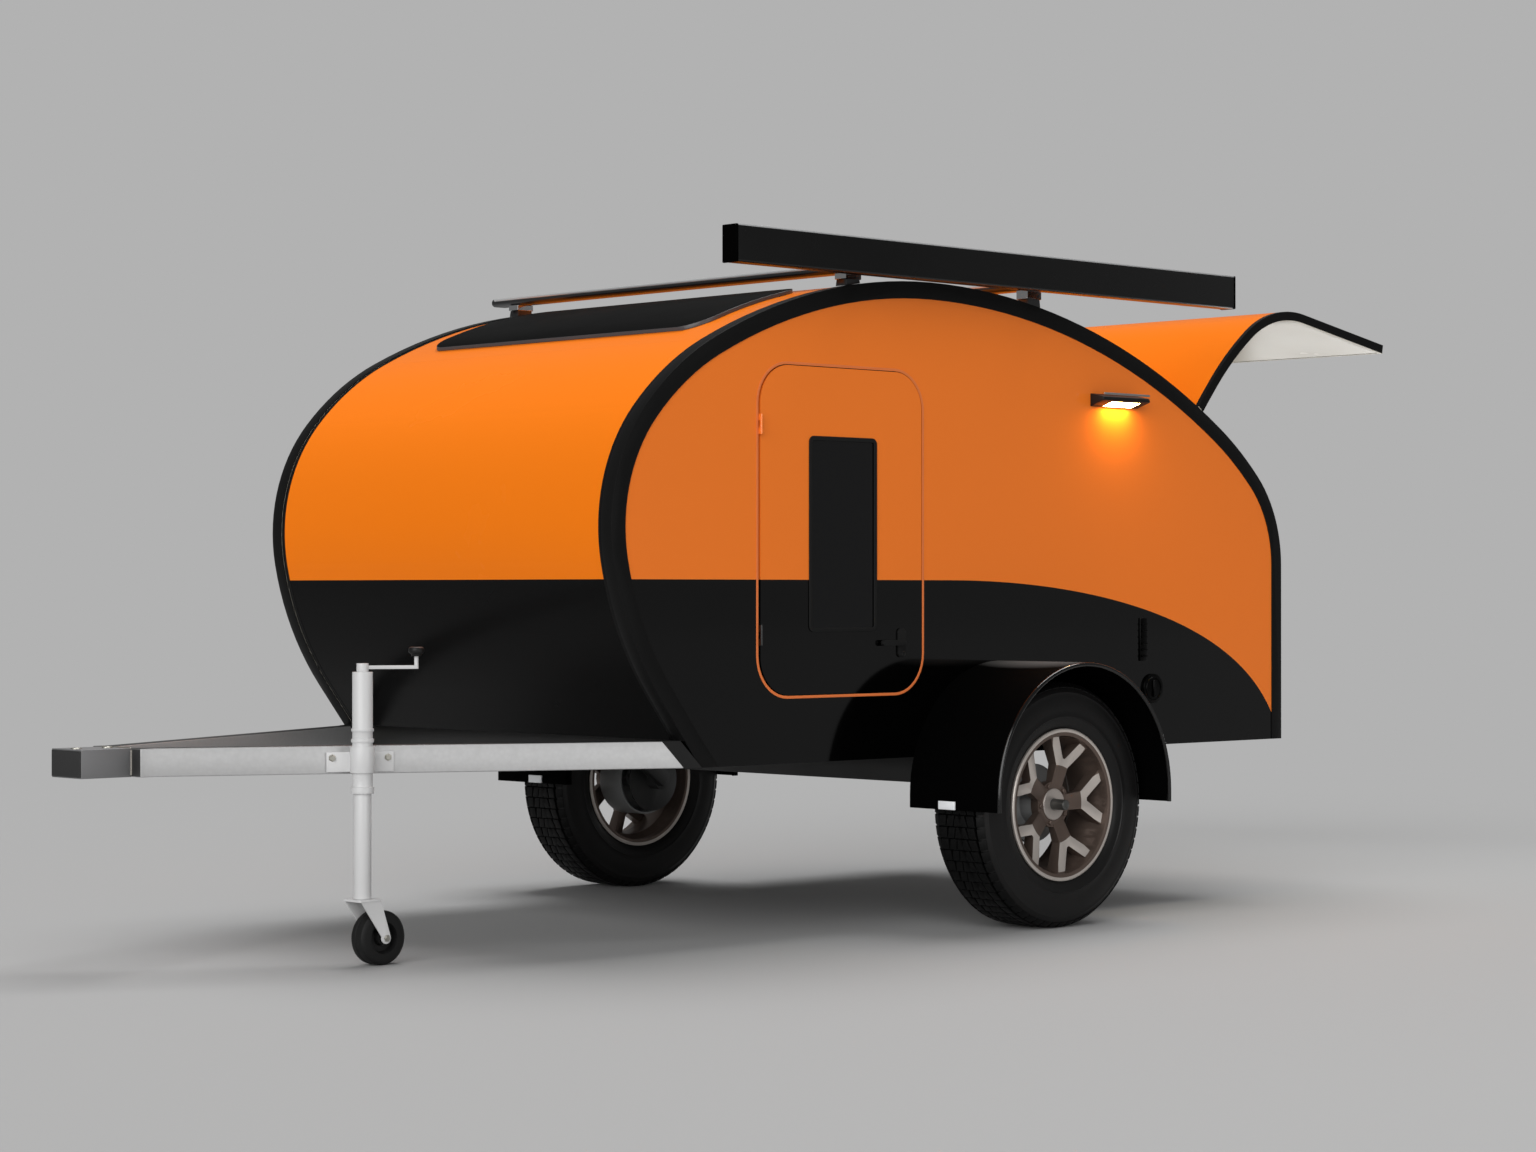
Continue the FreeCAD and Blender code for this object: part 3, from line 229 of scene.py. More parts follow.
def dressed(node_name, name, body, material, width, segments=2, flatten=True):
    """A CAD node redrawn with rounded edges; the piece stands in the node's place."""
    piece = softened(node_name, width, segments, flatten)
    return settle(piece, name, body, material, [node_name])


# powder-coated aluminium: satin, its 0.4 mm texture drawn at 1.1 mm, to break up the highlight
trim_coat = grained("powder_coated_aluminium_black", (900.0, 0.0002, 0.30, 0.40, 0.15), "#161616",
        Specular_IOR_Level=0.06)
dressed("edge_trims", "edge_trim_caps", BODY, trim_coat, 0.0015)

# ---------------------------------------------------------------- door reveals and window gaskets
# A painted flange lines each door opening, and a black rubber seal sits behind it.  The tinted
# pane of each door is held by a rubber gasket pushed round its edge.
REVEAL_WIDTH = 0.0085
REVEAL_PROUD = 0.0012
HINGE_SIDE = 0.0010
LATCH_SIDE = 0.0020
GASKET_WIDTH = 0.013
GASKET_REACH = 0.005
SEAL_REACH = 0.012


def leave_edit():
    """Turns all faces outwards and leaves edit mode."""
    bpy.ops.mesh.select_all(action="SELECT")
    bpy.ops.mesh.normals_make_consistent(inside=False)
    bpy.ops.object.mode_set(mode="OBJECT")


def hoop(low, high, corner, width, depth, face_x, side):
    """A closed flat ring in the plane of a side wall: a sheet with rounded corners, inset and cut
    out, then pushed outwards from face_x by depth."""
    bpy.ops.object.select_all(action="DESELECT")
    bpy.ops.mesh.primitive_plane_add(size=1, location=(side * face_x, (low[0] + high[0]) / 2,
            (low[1] + high[1]) / 2), rotation=(0, math.pi / 2, 0))
    ring = bpy.context.object
    ring.scale = (high[1] - low[1], high[0] - low[0], 1)
    apply_place()
    edit_all()
    bpy.ops.mesh.bevel(affect="VERTICES", offset=corner, segments=10, profile=0.5)
    bpy.ops.mesh.select_all(action="SELECT")
    bpy.ops.mesh.inset(thickness=width, depth=0, use_boundary=True)
    bpy.ops.mesh.delete(type="FACE")
    bpy.ops.mesh.select_all(action="SELECT")
    bpy.ops.mesh.extrude_region_move(TRANSFORM_OT_translate={"value": (side * depth, 0, 0)})
    leave_edit()
    return ring


def round_edges(piece, width):
    """Rounds a piece's sharp edges with a bevel that is applied."""
    bpy.context.view_layer.objects.active = piece
    edge = piece.modifiers.new("edge", "BEVEL")
    edge.width, edge.segments, edge.angle_limit = width, 2, SHARP_ANGLE
    bpy.ops.object.modifier_apply(modifier=edge.name)
    return piece


# pressed flange, sprayed orange: less glossy than the panels
reveal_coat = grained("sprayed_flange_orange", (400.0, 0.0002, 0.30, 0.38, 0.06), "#E07840",
        Specular_IOR_Level=0.20)
# extruded EPDM rubber: matt with a faint bloom
seal_rubber = grained("extruded_epdm_rubber", (700.0, 0.0003, 0.55, 0.75, 0.3), "#101010",
        Specular_IOR_Level=0.25)
# tinted acrylic pane, cast and polished: almost black from outside, one clear reflection
pane_tint = grained("cast_acrylic_dark_tint", (3.0, 0.004, 0.03, 0.07, 0.05), "#0A0A0B", IOR=1.49,
        Specular_IOR_Level=0.50)

door_low, door_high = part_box("door_left")
pane_low, pane_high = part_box("door_window_left")
for side, hand in ((1, "left"), (-1, "right")):
    near = (door_low.y - REVEAL_WIDTH - HINGE_SIDE, door_low.z - REVEAL_WIDTH - LATCH_SIDE)
    far = (door_high.y + REVEAL_WIDTH + LATCH_SIDE, door_high.z + REVEAL_WIDTH + LATCH_SIDE)
    ring = hoop(near, far, 0.130, REVEAL_WIDTH, REVEAL_PROUD, wall_face, side)
    settle(round_edges(ring, 0.0004), "door_reveal_" + hand, BODY, reveal_coat)
    near = (door_low.y - SEAL_REACH, door_low.z - SEAL_REACH)
    far = (door_high.y + SEAL_REACH, door_high.z + SEAL_REACH)
    ring = hoop(near, far, 0.127, 0.010, 0.010, wall_inner + 0.001, side)
    settle(round_edges(ring, 0.002), "door_seal_" + hand, BODY, seal_rubber)
    near = (pane_low.y - GASKET_REACH, pane_low.z - GASKET_REACH)
    far = (pane_high.y + GASKET_REACH, pane_high.z + GASKET_REACH)
    ring = hoop(near, far, 0.020, GASKET_WIDTH, 0.0035, wall_face + 0.0002, side)
    settle(round_edges(ring, 0.0012), "window_gasket_" + hand, "door_" + hand, seal_rubber)
    wear("door_window_" + hand, pane_tint)

# ---------------------------------------------------------------- fenders
# Moulded black ABS arches on a flange that is bolted to the wall, with a round PVC bead pushed
# on the outer edge.  A clear reflector sits on the front foot of each.
ARCH_SKIN = 0.005
LIP_RADIUS = 0.0070
FLANGE_WIDTH = 0.022
REFLECTOR = (0.068, 0.006, 0.026)
ARCH_BOLTS = 7
ARCH_BOLT = [(0, 0.0085), (0.0012, 0.0085), (0.0013, 0.006), (0.005, 0.006), (0.006, 0.005)]


def pick(piece, test, kind="FACE"):
    """In edit mode, selects only the faces whose normal passes a test, or the vertices whose place does."""
    mesh = bmesh.from_edit_mesh(piece.data)
    for items in (mesh.verts, mesh.edges, mesh.faces):
        for item in items:
            item.select = False
    chosen = 0
    for item in mesh.verts if kind == "VERT" else mesh.faces:
        if test(item.co if kind == "VERT" else item.normal):
            item.select_set(True)
            chosen += 1
    bmesh.update_edit_mesh(piece.data)
    return chosen


def block(low, high, face_test, inset, depth, edge):
    """A block between two corners, with the faces that pass a test inset and pushed, and its
    edges rounded."""
    bpy.ops.object.select_all(action="DESELECT")
    low, high = Vector(low), Vector(high)
    bpy.ops.mesh.primitive_cube_add(size=1, location=(low + high) / 2)
    made = bpy.context.object
    made.scale = high - low
    apply_place()
    bpy.ops.object.mode_set(mode="EDIT")
    if pick(made, face_test):
        bpy.ops.mesh.inset(thickness=inset, depth=depth)
    bpy.ops.object.mode_set(mode="OBJECT")
    return round_edges(made, edge)


def arch_sweep(start, across, up, hub_y, hub_z, foot, steps=40):
    """Sweeps a section from the front foot of an arch, straight up, over in a half circle and
    down.  start is the section's centre, across and up its sizes; a round section has up = 0."""
    bpy.ops.object.select_all(action="DESELECT")
    if up:
        bpy.ops.mesh.primitive_plane_add(size=1, location=start)
        strip = bpy.context.object
        strip.scale = (across, up, 1)
        apply_place()
    else:
        bpy.ops.mesh.primitive_circle_add(vertices=12, radius=across, location=start, fill_type="NGON")
        strip = bpy.context.object
        apply_place()
    edit_all()
    bpy.ops.mesh.extrude_region_move(TRANSFORM_OT_translate={"value": (0, 0, foot)})
    bpy.ops.mesh.spin(steps=steps, angle=math.pi, center=(0, hub_y, hub_z), axis=(1, 0, 0))
    bpy.ops.mesh.extrude_region_move(TRANSFORM_OT_translate={"value": (0, 0, -foot)})
    bpy.ops.mesh.select_all(action="SELECT")
    bpy.ops.mesh.remove_doubles(threshold=0.00005)
    bpy.ops.mesh.normals_make_consistent(inside=False)
    bpy.ops.object.mode_set(mode="OBJECT")
    return strip


def joined(pieces):
    """Joins pieces into the first of them."""
    choose(pieces)
    bpy.ops.object.join()
    return pieces[0]


def turned(rings, centre, axis, segments=32, hoop_shaped=False):
    """A turned shape from a circle that is extruded ring by ring.  A ring is (distance along the
    axis, radius).  A hoop stays open between its last ring and its first; otherwise both ends are
    closed."""
    bpy.ops.object.select_all(action="DESELECT")
    bpy.ops.mesh.primitive_circle_add(vertices=segments, radius=rings[0][1], location=(0, 0, rings[0][0]),
            fill_type="NOTHING")
    made = bpy.context.object
    apply_place()
    edit_all()
    for (before, narrow), (after, wide) in zip(rings, rings[1:]):
        bpy.ops.mesh.extrude_region_move(TRANSFORM_OT_translate={"value": (0, 0, after - before)})
        bpy.ops.transform.resize(value=(wide / narrow, wide / narrow, 1), center_override=(0, 0, after))
    bpy.ops.mesh.select_all(action="SELECT")
    if not hoop_shaped:
        bpy.ops.mesh.fill_holes(sides=0)
    leave_edit()
    made.rotation_mode = "QUATERNION"
    made.rotation_quaternion = Vector((0, 0, 1)).rotation_difference(Vector(axis))
    made.location = centre
    apply_place()
    return made


def copied(piece, shift):
    """A copy with its own mesh, moved by shift."""
    twin = piece.copy()
    twin.data = piece.data.copy()
    bpy.context.scene.collection.objects.link(twin)
    twin.data.transform(Matrix.Translation(Vector(shift)))
    return twin


def repeated(profile, spots, axis, segments):
    """One turned piece at the first spot, with copies of it at the others."""
    first = turned(profile, spots[0], axis, segments)
    return joined([first] + [copied(first, Vector(spot) - Vector(spots[0])) for spot in spots[1:]])


# moulded ABS from a fine tool face: deep black, with a narrow soft line of light along each edge
gloss_abs = grained("moulded_abs_black", (30.0, 0.0006, 0.26, 0.32, 0.03), "#020202", IOR=1.52,
        Specular_IOR_Level=0.08)
# the same ABS with a textured face for the arches: flat black that mirrors next to nothing, with a
# painted highlight: a pale grey strip along the crown, where the faces are level
arch_abs, tree, shader = new_material("moulded_abs_arch_black", IOR=1.52, Specular_IOR_Level=0.01)
facing = add_node(tree, "SeparateXYZ", {0: add_node(tree, "TexCoord").outputs["Normal"]})
level = add_node(tree, "MapRange", {"Value": facing.outputs["Z"], "From Min": 0.950, "From Max": 0.996})
painted_crest_highlight = add_node(tree, "Mix", {0: level, 6: "#030303", 7: "#5C5C5C"}, data_type="RGBA").outputs[2]
tree.links.new(painted_crest_highlight, shader.inputs["Base Color"])
grain_of(tree, shader, 300.0, 0.0004, 0.60, 0.70, 0.06)
# extruded edge bead: gloss PVC that draws a thin line of light round each arch
bead_pvc = grained("extruded_pvc_edge_bead", (60.0, 0.0003, 0.10, 0.14, 0.03), "#040404", IOR=1.54,
        Specular_IOR_Level=0.50)
# zinc-plated steel fasteners: pale grey with a faint warm tint
zinc_plate = grained("zinc_plated_steel", (600.0, 0.0002, 0.28, 0.42, 0.2), "#B9B7AE", Metallic=1.0)
# moulded polycarbonate reflector with 2.5 mm corner cubes behind a clear face
reflector_lens, tree, shader = new_material("moulded_polycarbonate_clear", Base_Color="#E6E8EA", IOR=1.58,
        Roughness=0.12)
place = add_node(tree, "TexCoord").outputs["Object"]
cubes = add_node(tree, "TexVoronoi", {"Vector": place, "Scale": 400.0})
bump = add_node(tree, "Bump", {"Height": cubes.outputs["Distance"], "Strength": 0.6, "Distance": 0.001})
tree.links.new(bump.outputs[0], shader.inputs["Normal"])

for side, hand in ((1, "left"), (-1, "right")):
    low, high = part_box("fender_" + hand)
    outer, inner = (high.x, low.x) if side > 0 else (low.x, high.x)
    radius = (high.y - low.y) / 2
    hub_z = high.z - radius
    foot = hub_z - low.z
    middle = (outer + inner) / 2 - side * LIP_RADIUS / 2
    skin = arch_sweep((middle, low.y + ARCH_SKIN / 2, low.z), abs(outer - inner) - LIP_RADIUS, ARCH_SKIN,
            axle_y, hub_z, foot)
    lip = arch_sweep((outer - side * LIP_RADIUS, low.y + LIP_RADIUS, low.z), LIP_RADIUS, 0.0, axle_y, hub_z,
            foot)
    flange = arch_sweep((inner + side * 0.002, low.y + ARCH_SKIN + FLANGE_WIDTH / 2, low.z), 0.004,
            FLANGE_WIDTH, axle_y, hub_z, foot)
    arch = joined([round_edges(skin, 0.0015), flange])
    settle(arch, "fender_shell_" + hand, BODY, arch_abs, ["fender_" + hand])
    settle(lip, "fender_edge_bead_" + hand, BODY, bead_pvc)
    bolt_circle = radius - ARCH_SKIN - FLANGE_WIDTH / 2
    angles = [math.radians(15 + 150 * index / (ARCH_BOLTS - 1)) for index in range(ARCH_BOLTS)]
    spots = [(inner + side * 0.004, axle_y - bolt_circle * math.cos(angle),
            hub_z + bolt_circle * math.sin(angle)) for angle in angles]
    settle(repeated(ARCH_BOLT, spots, (side, 0, 0), 12), "fender_bolts_" + hand, BODY,
            zinc_plate)
    spot, half = Vector((side * 0.990, low.y - 0.003, low.z + 0.014)), Vector(REFLECTOR) / 2
    reflector = block(spot - half, spot + half, lambda normal: normal.y < -0.9, 0.002, 0.001, 0.0008)
    settle(reflector, "fender_reflector_" + hand, BODY, reflector_lens)

# ---------------------------------------------------------------- road wheels
# All-terrain tyres with 64 pitches of moulded blocks, on cast alloy rims with five forked
# spokes: painted bronze grey, then the arms and the lip faced off bright on a lathe.
PITCHES = 64
TREAD_DEPTH = 0.007
BLOCK_SKEW = math.radians(16)
# Columns: half width across the wheel, radius in from the tread
TYRE_RINGS = [(0.0800, 0.0070), (0.0930, 0.0100), (0.1010, 0.0180), (0.1068, 0.0300), (0.1085, 0.0330),
              (0.1082, 0.0350), (0.1102, 0.0460), (0.1122, 0.0610), (0.1125, 0.0760), (0.1122, 0.0900),
              (0.1115, 0.1030), (0.1122, 0.1050), (0.1122, 0.1090), (0.1100, 0.1110), (0.1080, 0.1200),
              (0.1055, 0.1300), (0.1010, 0.1385), (0.0965, 0.1440), (0.0950, 0.1510)]
# Columns: place across, width, length round the tread, skew share
BLOCKS = [(0.0, 0.0265, 0.0350, 1.0), (0.030, 0.0265, 0.0350, -1.0), (-0.030, 0.0265, 0.0350, 1.0),
          (0.061, 0.0285, 0.0345, -0.5), (-0.061, 0.0285, 0.0345, 0.5)]
SHOULDER_BLOCK = (0.0910, 0.025, 0.031, math.radians(38))
CAP_REACH = 0.053
HUB_RING = [(-0.0003, 0.0500), (0.0025, 0.0500), (0.0042, 0.0480), (0.0042, 0.0220), (0.0025, 0.0190),
        (-0.0003, 0.0185)]
HUB_CAP = [(0.0005, 0.0178), (0.0480, 0.0168), (0.0525, 0.0160), (0.0540, 0.0138), (0.0540, 0.0105),
        (0.0532, 0.0095), (0.0532, 0.0020)]
LUG_NUT = [(0.0, 0.0085), (0.0060, 0.0085), (0.0080, 0.0070), (0.0080, 0.0020)]
LUG_CIRCLE = 0.0605
LUGS = 5


def tread_block(spot, width, length, height, skew, lean):
    """One moulded block: a cube rounded on top, skewed on the tread and leaning on the shoulder."""
    bpy.ops.object.select_all(action="DESELECT")
    bpy.ops.mesh.primitive_cube_add(size=1, location=(0, 0, 0))
    lug = bpy.context.object
    lug.scale = (width, length, height)
    bpy.ops.object.transform_apply(location=False, rotation=False, scale=True)
    bpy.ops.object.mode_set(mode="EDIT")
    pick(lug, lambda normal: normal.z > 0.9)
    bpy.ops.mesh.bevel(offset=0.0012, segments=2, affect="EDGES")
    pick(lug, lambda spot: spot.y > 0, "VERT")
    bpy.ops.transform.translate(value=(math.tan(skew) * length, 0, 0))
    bpy.ops.object.mode_set(mode="OBJECT")
    lug.rotation_euler = (0, lean, 0)
    lug.location = spot
    apply_place()
    return lug


# vulcanised rubber: dark grey, half matt, a faint brown bloom and a 2 mm texture
tyre_compound, tree, shader = new_material("vulcanised_tyre_rubber", Specular_IOR_Level=0.22)
grain_of(tree, shader, 500.0, 0.0004, 0.38, 0.50, 0.15)
place = add_node(tree, "TexCoord").outputs["Object"]
bloom = add_node(tree, "TexNoise", {"Vector": place, "Scale": 9.0, "Detail": 6.0})
tone = add_node(tree, "Mix", {0: bloom.outputs["Fac"], 6: "#0F0F0F", 7: "#161515"},
        data_type="RGBA").outputs[2]
tree.links.new(tone, shader.inputs["Base Color"])
# the tread blocks: darker and drier than the side wall
tread_compound = grained("vulcanised_tread_rubber", (500.0, 0.0004, 0.48, 0.60, 0.2), "#060606",
        Specular_IOR_Level=0.16)
# phosphated steel cap over the hub nut: dark grey with a dull metal sheen
cap_steel = grained("phosphated_steel_cap", (300.0, 0.0003, 0.28, 0.38, 0.1), "#5A5A58", Metallic=0.7)

# cast aluminium: bronze-grey lacquer, with the arms' faces and the lip machined bright, where the
# lathe leaves fine rings 0.8 mm apart.  Drawn from the distance to the axle and the face's slope
alloy_lacquer, tree, shader = new_material("cast_alloy_lacquered_and_machined", Metallic=0.6)
place = add_node(tree, "TexCoord")
radial = add_node(tree, "VectorMath", {0: place.outputs["Object"], 1: (0, axle_y, axle_z)},
        operation="SUBTRACT")
flat = add_node(tree, "VectorMath", {0: radial, 1: (0, 1, 1)}, operation="MULTIPLY")
from_axle = add_node(tree, "VectorMath", {0: flat}, operation="LENGTH").outputs["Value"]
slope = add_node(tree, "VectorMath", {0: place.outputs["Normal"], 1: (1, 0, 0)}, operation="DOT_PRODUCT")
slope = add_node(tree, "Math", {0: slope.outputs["Value"]}, operation="ABSOLUTE")
across = add_node(tree, "SeparateXYZ", {0: place.outputs["Object"]})
across = add_node(tree, "Math", {0: across.outputs["X"]}, operation="ABSOLUTE")
level = add_node(tree, "Math", {0: slope, 1: 0.93}, operation="GREATER_THAN")
outboard = add_node(tree, "Math", {0: across, 1: 1.052}, operation="GREATER_THAN")
past_fork = add_node(tree, "Math", {0: from_axle, 1: 0.124}, operation="GREATER_THAN")
before_lip = add_node(tree, "Math", {0: from_axle, 1: 0.2135}, operation="LESS_THAN")
faced = add_node(tree, "Math", {0: level, 1: outboard}, operation="MULTIPLY")
faced = add_node(tree, "Math", {0: faced, 1: past_fork}, operation="MULTIPLY")
faced = add_node(tree, "Math", {0: faced, 1: before_lip}, operation="MULTIPLY")
on_lip = add_node(tree, "Math", {0: from_axle, 1: 0.2290}, operation="GREATER_THAN")
faced = add_node(tree, "Math", {0: faced, 1: on_lip}, operation="MAXIMUM")
colour = add_node(tree, "Mix", {0: faced, 6: "#65574F", 7: "#CCC4BD"}, data_type="RGBA").outputs[2]
tree.links.new(colour, shader.inputs["Base Color"])
rough = add_node(tree, "MapRange", {"Value": faced, "To Min": 0.40, "To Max": 0.32})
tree.links.new(rough.outputs[0], shader.inputs["Roughness"])
turning = add_node(tree, "Math", {0: from_axle, 1: 2 * math.pi / 0.0008}, operation="MULTIPLY")
turning = add_node(tree, "Math", {0: turning}, operation="SINE")
turning = add_node(tree, "Math", {0: turning, 1: faced}, operation="MULTIPLY")
bump = add_node(tree, "Bump", {"Height": turning, "Strength": 0.15, "Distance": 0.0001})
tree.links.new(bump.outputs[0], shader.inputs["Normal"])

# painted cast iron drum and backing plate: mid grey, slightly rough
drum_paint = grained("painted_cast_iron", (250.0, 0.0006, 0.45, 0.60, 0.3), "#8A8B8B", Metallic=0.3)
# turned aluminium disc in the middle of the rim: light, with a soft sheen
turned_alloy = grained("turned_aluminium", (300.0, 0.0002, 0.38, 0.46, 0.1), "#B3ABA5", Metallic=0.6)

for side, hand in ((1, "left"), (-1, "right")):
    low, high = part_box("tyre_" + hand)
    middle_x, tread_r = (low.x + high.x) / 2, (high.z - low.z) / 2
    half = [(across, tread_r - down) for across, down in TYRE_RINGS]
    carcass = turned(half + [(-across, radius) for across, radius in half[::-1]], (middle_x, axle_y, axle_z),
            (1, 0, 0), 96, True)
    pitch = [tread_block((middle_x + across, axle_y, axle_z + tread_r - TREAD_DEPTH / 2 - 0.0004), width,
            length, TREAD_DEPTH, BLOCK_SKEW * skew, 0) for across, width, length, skew in BLOCKS]
    place_across, width, length, lean = SHOULDER_BLOCK
    for edge in (1, -1):
        pitch.append(tread_block((middle_x + edge * place_across, axle_y, axle_z + tread_r - 0.0118), width,
                length, 0.008, 0.0, edge * lean))
    blocks = joined(pitch)
    edit_all()
    copies = 1
    while copies < PITCHES:
        bpy.ops.mesh.duplicate_move()
        bpy.ops.transform.rotate(value=2 * math.pi * copies / PITCHES, orient_axis="X",
                center_override=(middle_x, axle_y, axle_z))
        bpy.ops.mesh.select_all(action="SELECT")
        copies *= 2
    bpy.ops.object.mode_set(mode="OBJECT")
    carcass.data.materials.append(tyre_compound)
    blocks.data.materials.append(tread_compound)
    settle(joined([carcass, blocks]), "road_tyre_" + hand, "wheel_" + hand, None,
            ["tyre_" + hand])
    dressed("rim_" + hand, "alloy_rim_" + hand, "wheel_" + hand, alloy_lacquer, 0.0018)
    dressed("hub_" + hand, "brake_drum_" + hand, "wheel_" + hand, drum_paint, 0.0015)
    seat_x = side * (abs(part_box("hub_" + hand)[1 if side > 0 else 0].x) - CAP_REACH)
    ring = turned(HUB_RING, (seat_x, axle_y, axle_z), (side, 0, 0), 40, True)
    settle(ring, "hub_ring_" + hand, "wheel_" + hand, turned_alloy)
    cap = turned(HUB_CAP, (seat_x, axle_y, axle_z), (side, 0, 0), 40)
    settle(cap, "hub_cap_" + hand, "wheel_" + hand, cap_steel)
    angles = [math.radians(4 + 36 + 360 / LUGS * index) for index in range(LUGS)]
    spots = [(seat_x - side * 0.001, axle_y + LUG_CIRCLE * math.cos(angle),
            axle_z + LUG_CIRCLE * math.sin(angle)) for angle in angles]
    settle(repeated(LUG_NUT, spots, (side, 0, 0), 6), "lug_nuts_" + hand, "wheel_" + hand,
            alloy_lacquer)

# ---------------------------------------------------------------- drawbar and chassis
# Welded steel box sections.  The A-frame is hot-dip galvanised, with painted shade on its top and
# front faces and a rubber boot on each end under the nose; the frame under the floor is brushed satin black.
WELD_WIDTH = 0.006
WELD_STEP = 0.0045
BOOT_LENGTH = 0.048
CHIN_SLOPE = 0.760
CHANNEL_SKIN = 0.0012


def edge_channel(node_name, cut_at, cut_facing):
    """The part of a panel beyond a plane, swollen by the channel's own skin."""
    strip = softened(node_name, 0.0004, 1)
    edit_all()
    bpy.ops.mesh.bisect(plane_co=cut_at, plane_no=cut_facing, use_fill=True, clear_inner=True)
    bpy.ops.object.mode_set(mode="OBJECT")
    swell = strip.modifiers.new("skin", "DISPLACE")
    swell.strength, swell.mid_level, swell.direction = CHANNEL_SKIN, 0.0, "NORMAL"
    bpy.ops.object.modifier_apply(modifier=swell.name)
    return strip


# hot-dip galvanised steel: bright satin with faint 12 mm zinc flowers; the faces that look up or
# forwards are painted dark grey, a painted shade
galvanised, tree, shader = new_material("hot_dip_galvanised_steel", Metallic=0.45)
place = add_node(tree, "TexCoord")
flowers = add_node(tree, "TexVoronoi", {"Vector": place.outputs["Object"], "Scale": 80.0})
upward = add_node(tree, "SeparateXYZ", {0: place.outputs["Normal"]})
forward = add_node(tree, "Math", {0: upward.outputs["Y"], 1: -0.8}, operation="MULTIPLY")
painted_shade = add_node(tree, "Math", {0: upward.outputs["Z"], 1: forward}, operation="MAXIMUM")
painted_shade = add_node(tree, "MapRange", {"Value": painted_shade, "From Min": 0.5, "From Max": 0.8})
tone = add_node(tree, "Mix", {0: flowers.outputs["Distance"], 6: "#C0C0C0", 7: "#BCBCBC"},
        data_type="RGBA").outputs[2]
tone = add_node(tree, "Mix", {0: painted_shade, 6: tone, 7: "#333333"}, data_type="RGBA").outputs[2]
tree.links.new(tone, shader.inputs["Base Color"])
rough = add_node(tree, "MapRange", {"Value": flowers.outputs["Distance"], "To Min": 0.42, "To Max": 0.50})
tree.links.new(rough.outputs[0], shader.inputs["Roughness"])
bump = add_node(tree, "Bump", {"Height": flowers.outputs["Distance"], "Strength": 0.05, "Distance": 0.0005})
tree.links.new(bump.outputs[0], shader.inputs["Normal"])
# phosphated steel of the coupling's tube: mid grey and satin, darker than the zinc beside it
phosphated = grained("phosphated_steel", (300.0, 0.0003, 0.42, 0.52, 0.2), "#7E7E7F", Metallic=0.45)
# brushed satin black chassis paint, with the mill texture of hot-rolled steel below it
chassis_paint = grained("brushed_chassis_enamel_black", (160.0, 0.0008, 0.40, 0.58, 0.25), "#262626")
# bare weld metal: bright with a faint brown heat tint
weld_metal = grained("mig_weld_metal", (300.0, 0.0008, 0.35, 0.55, 0.4), "#A8A49C", Metallic=1.0)

boots = []
for hand in ("left", "right"):
    name = "drawbar_rail_" + hand
    low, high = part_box(name)
    boots.append(edge_channel(name, (0, high.y - BOOT_LENGTH, low.z), (0, 1, CHIN_SLOPE)))
    dressed(name, "drawbar_tube_" + hand, BODY, galvanised, 0.003, 3)
settle(joined(boots), "rail_end_boots", BODY, seal_rubber)
dressed("coupling_stub", "coupling_tube", BODY, phosphated, 0.003, 3)
for name in ("chassis_rails", "cross_members", "axle"):
    dressed(name, name + "_painted", BODY, chassis_paint, 0.0025)


def weld_bead(start, end):
    """A weld: a bar laid along a joint, cut into ripples that are swollen one by one."""
    start, end = Vector(start), Vector(end)
    ripples = max(4, int((end - start).length / WELD_STEP))
    rings = [(0, WELD_WIDTH * 0.3)]
    for index in range(ripples):
        along = (end - start).length * (index + 0.5) / ripples
        rings += [(along, WELD_WIDTH * 0.5), (along + WELD_STEP * 0.35, WELD_WIDTH * 0.42)]
    return turned(rings + [((end - start).length, WELD_WIDTH * 0.3)], start, end - start, 8)


stub_low, stub_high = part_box("coupling_stub")
weld_y = stub_high.y
seams = [weld_bead((x, weld_y, stub_low.z + 0.004), (x, weld_y, stub_high.z - 0.004))
        for x in (stub_low.x - 0.0005, stub_high.x + 0.0005)]
seams.append(weld_bead((stub_low.x + 0.002, weld_y, stub_high.z), (stub_high.x - 0.002, weld_y, stub_high.z)))
settle(joined(seams), "coupling_welds", BODY, weld_metal)

# a bolted tow plate closes the front of the stub, its black paint a painted shade on the stub's front face;
# the two coupling bolts' washers lie on top
shade_plate = block((stub_low.x + 0.003, stub_low.y - 0.004, stub_low.z + 0.003),
        (stub_high.x - 0.003, stub_low.y + 0.002, stub_high.z - 0.003), lambda normal: normal.y < -0.9, 0.006,
        -0.0015, 0.0015)
settle(shade_plate, "coupling_end_cover_painted_shade", BODY, chassis_paint)
washers = [turned([(0, 0.015), (0.0025, 0.0148), (0.003, 0.014), (0.003, 0.0095), (0, 0.0090)],
        (0, (stub_low.y + stub_high.y) / 2 + along, stub_high.z), (0, 0, 1), 28, True)
        for along in (-0.05, 0.05)]
settle(joined(washers), "coupling_washers", BODY, zinc_plate)

# ---------------------------------------------------------------- jockey wheel stand
# Steel tube in a clamp on the left rail, powder-coated white, with a screw inside that the
# crank on top turns.  The wheel is solid rubber on a forked caster.
COLLAR_RISE = 0.010
DRAWBAR_ANGLE = math.radians(26.9)
COLLAR_RING = [(0.0, 0.0292), (0.001, 0.0318), (0.004, 0.0325), (0.008, 0.0325), (0.011, 0.0318),
        (0.012, 0.0292)]
LOWER_BAND = [(0.0, 0.0292), (0.0015, 0.0330), (0.016, 0.0330), (0.0175, 0.0292)]
CLAMP_BOLT = [(0.0, 0.0110), (0.0015, 0.0110), (0.0016, 0.0085), (0.0075, 0.0085), (0.0085, 0.0075)]
GRIP = [(0.0, 0.0138), (0.006, 0.0150), (0.010, 0.0212), (0.014, 0.0225), (0.020, 0.0225), (0.024, 0.0205),
        (0.0265, 0.0150)]
